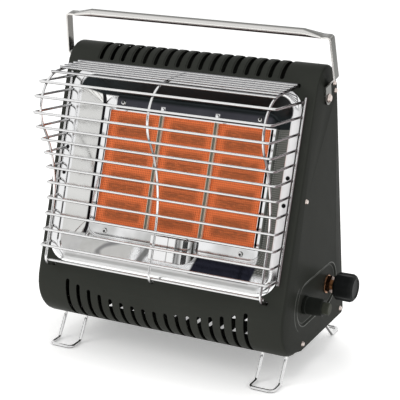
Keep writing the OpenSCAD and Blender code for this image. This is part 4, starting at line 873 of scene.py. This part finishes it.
def settle(bm, name, node, y, z):
    """Put a turned skin on its own axis and let it stand for its node."""
    bm.transform(Matrix.Translation((0, y * MM, z * MM)) @ Matrix.Scale(MM, 4))
    dress(new_piece(name, bm), node)


print("controls turned about y", TAP_Y, "and", IGNITER_Y, "mm")

# %% [markdown]
# ### The knob
# Eight lobes are a cosine round the axis. They fade out towards the hub and towards the front edge, as a
# mould must let the knob go.

# %% Knob
TAP_Z = 89
KNOB_SECTION = [(173.6, 0), (173.6, 7.0), (170, 7.0), (170, 13.6), (173, 15.9), (189.5, 16.1), (192.8, 15.2),
                (194.5, 12.6), (194.5, 11.2), (193.6, 10.6), (193.6, 0)]
KNOB_FRONT, LOBES, LOBE_DEPTH = 194.5, 8, 0.05
LOBE_FROM, LOBE_RISE, FRONT_FADE = 12.6, 3, 4
bm = turned(KNOB_SECTION, 0.5, 96)
for v in bm.verts:
    reach = math.hypot(v.co.y, v.co.z)
    fade = ramp(reach, LOBE_FROM, LOBE_RISE) * ramp(-v.co.x, -KNOB_FRONT, FRONT_FADE)
    angle = math.atan2(v.co.z, v.co.y)
    swell(v, 1 + LOBE_DEPTH * fade * math.cos(LOBES * angle + math.pi))
settle(bm, "knob_skin", "control_knob", TAP_Y, TAP_Z)
print("knob lobes", LOBES)

# %% [markdown]
# ### The igniter's housing
# A thin sleeve runs into the case, with a flange on the panel and a ribbed collar round the button. A rib
# is where the cosine round the axis is above zero, so its flanks are steep.

# %% Igniter housing
IGNITER_Z = 87.5
HOUSING_SECTION = [(106, 0), (106, 2.5), (111, 2.5), (111, 8), (158.7, 8), (158.7, 10.9), (162.2, 10.9),
                   (162.8, 10.1), (180.6, 10.1), (181.5, 9.4), (181.5, 7.3), (160.4, 7.3), (160.4, 0)]
RIBS, RIB_HEIGHT, RIBBED, COLLAR_R = 28, 0.035, (163.5, 180.4), 9
bm = turned(HOUSING_SECTION, 0.3, 112)
for v in bm.verts:
    if RIBBED[0] < v.co.x < RIBBED[1] and math.hypot(v.co.y, v.co.z) > COLLAR_R:
        swell(v, 1 + RIB_HEIGHT * (math.cos(RIBS * math.atan2(v.co.z, v.co.y)) > 0))
settle(bm, "igniter_housing", "igniter_body", IGNITER_Y, IGNITER_Z)

# %% [markdown]
# ## Floor and cards
# A pale floor turns white for the camera and keeps the heater's shadow. Two dark cards stand far out of
# view. The camera doesn't see them, but bright metal mirrors them, and without something dark to mirror
# it would look like white plastic.

# %% Floor and cards
FLOOR_HALF = 6
CARD_DARK = (0.03, 0.03, 0.03)
floor_pale = Finish("floor_pale", Base_Color=(1.0, 0.985, 0.965), Roughness=0.9, Specular_IOR_Level=0.1,
                    Emission_Color=(1.0, 1.0, 1.0), Emission_Strength=0.30)
bm = bmesh.new()
bmesh.ops.create_grid(bm, x_segments=1, y_segments=1, size=FLOOR_HALF)
floor = new_piece("floor", bm)
floor.data.materials.append(floor_pale.material)


def aimed(at, to, axis):
    """A place, turned so that the named axis points at something."""
    turn = (Vector(to) - Vector(at)).to_track_quat(axis, "Y")
    return Matrix.Translation(at) @ turn.to_matrix().to_4x4()


def card(name, at, to, size):
    bm = bmesh.new()
    bmesh.ops.create_grid(bm, x_segments=1, y_segments=1, size=0.5)
    bmesh.ops.scale(bm, vec=(*size, 1), verts=bm.verts)
    bm.transform(aimed(at, to, "Z"))
    made = new_piece(name, bm)
    made.data.materials.append(Finish(name, Base_Color=CARD_DARK, Roughness=0.9).material)
    made.visible_camera = False
    made.visible_diffuse = False
    made.visible_shadow = False


card("card_front", (0.6, -3.0, 0.75), (0, 0, 0.3), (3.2, 0.9))
card("card_left", (-2.6, -0.6, 0.6), (0, 0, 0.2), (1.2, 0.8))
print("stage: floor and two cards")

# %% [markdown]
# ## Lamps and world
# Large soft lamps light the heater from the front left, from above and a little from the right. Their
# own shapes would show as hard patches in the wires, so mirrors don't see them. The world fills the rest
# at a plain level, and shows as white to the camera and to mirrors, through the Light Path node.

# %% Lamps and world
LAMP_AIM = (0, 0, 0.2)
LAMPS = {
    "key_left": ((-1.6, -1.6, 1.6), (1.2, 1.2), 17),
    "top_soft": ((0.2, 0.2, 2.2), (1.6, 1.2), 14),
    "fill_right": ((2.0, -0.6, 0.9), (0.9, 1.4), 5),
}
WORLD_TONE, WORLD_LEVEL = (0.96, 0.98, 1.0, 1), 0.75
for name, (at, size, power) in LAMPS.items():
    data = bpy.data.lights.new(name, "AREA")
    data.shape = "RECTANGLE"
    data.size, data.size_y = size
    data.energy = power
    lamp = bpy.data.objects.new(name, data)
    bpy.context.scene.collection.objects.link(lamp)
    lamp.matrix_world = aimed(at, LAMP_AIM, "-Z")
    lamp.visible_glossy = False

world = bpy.data.worlds.new("studio")
bpy.context.scene.world = world
world.use_nodes = True
tree = world.node_tree
fill = tree.nodes["Background"]
fill.inputs[0].default_value = WORLD_TONE
fill.inputs[1].default_value = WORLD_LEVEL
white = tree.nodes.new("ShaderNodeBackground")
white.inputs[0].default_value = (1, 1, 1, 1)
path = tree.nodes.new("ShaderNodeLightPath")
seen = tree.nodes.new("ShaderNodeMath")
seen.operation = "MAXIMUM"
tree.links.new(path.outputs["Is Camera Ray"], seen.inputs[0])
tree.links.new(path.outputs["Is Glossy Ray"], seen.inputs[1])
mixer = tree.nodes.new("ShaderNodeMixShader")
tree.links.new(seen.outputs[0], mixer.inputs[0])
tree.links.new(fill.outputs[0], mixer.inputs[1])
tree.links.new(white.outputs[0], mixer.inputs[2])
tree.links.new(mixer.outputs[0], tree.nodes["World Output"].inputs[0])
bpy.context.scene.view_settings.view_transform = "Standard"
print("lamps", list(LAMPS))

# %% [markdown]
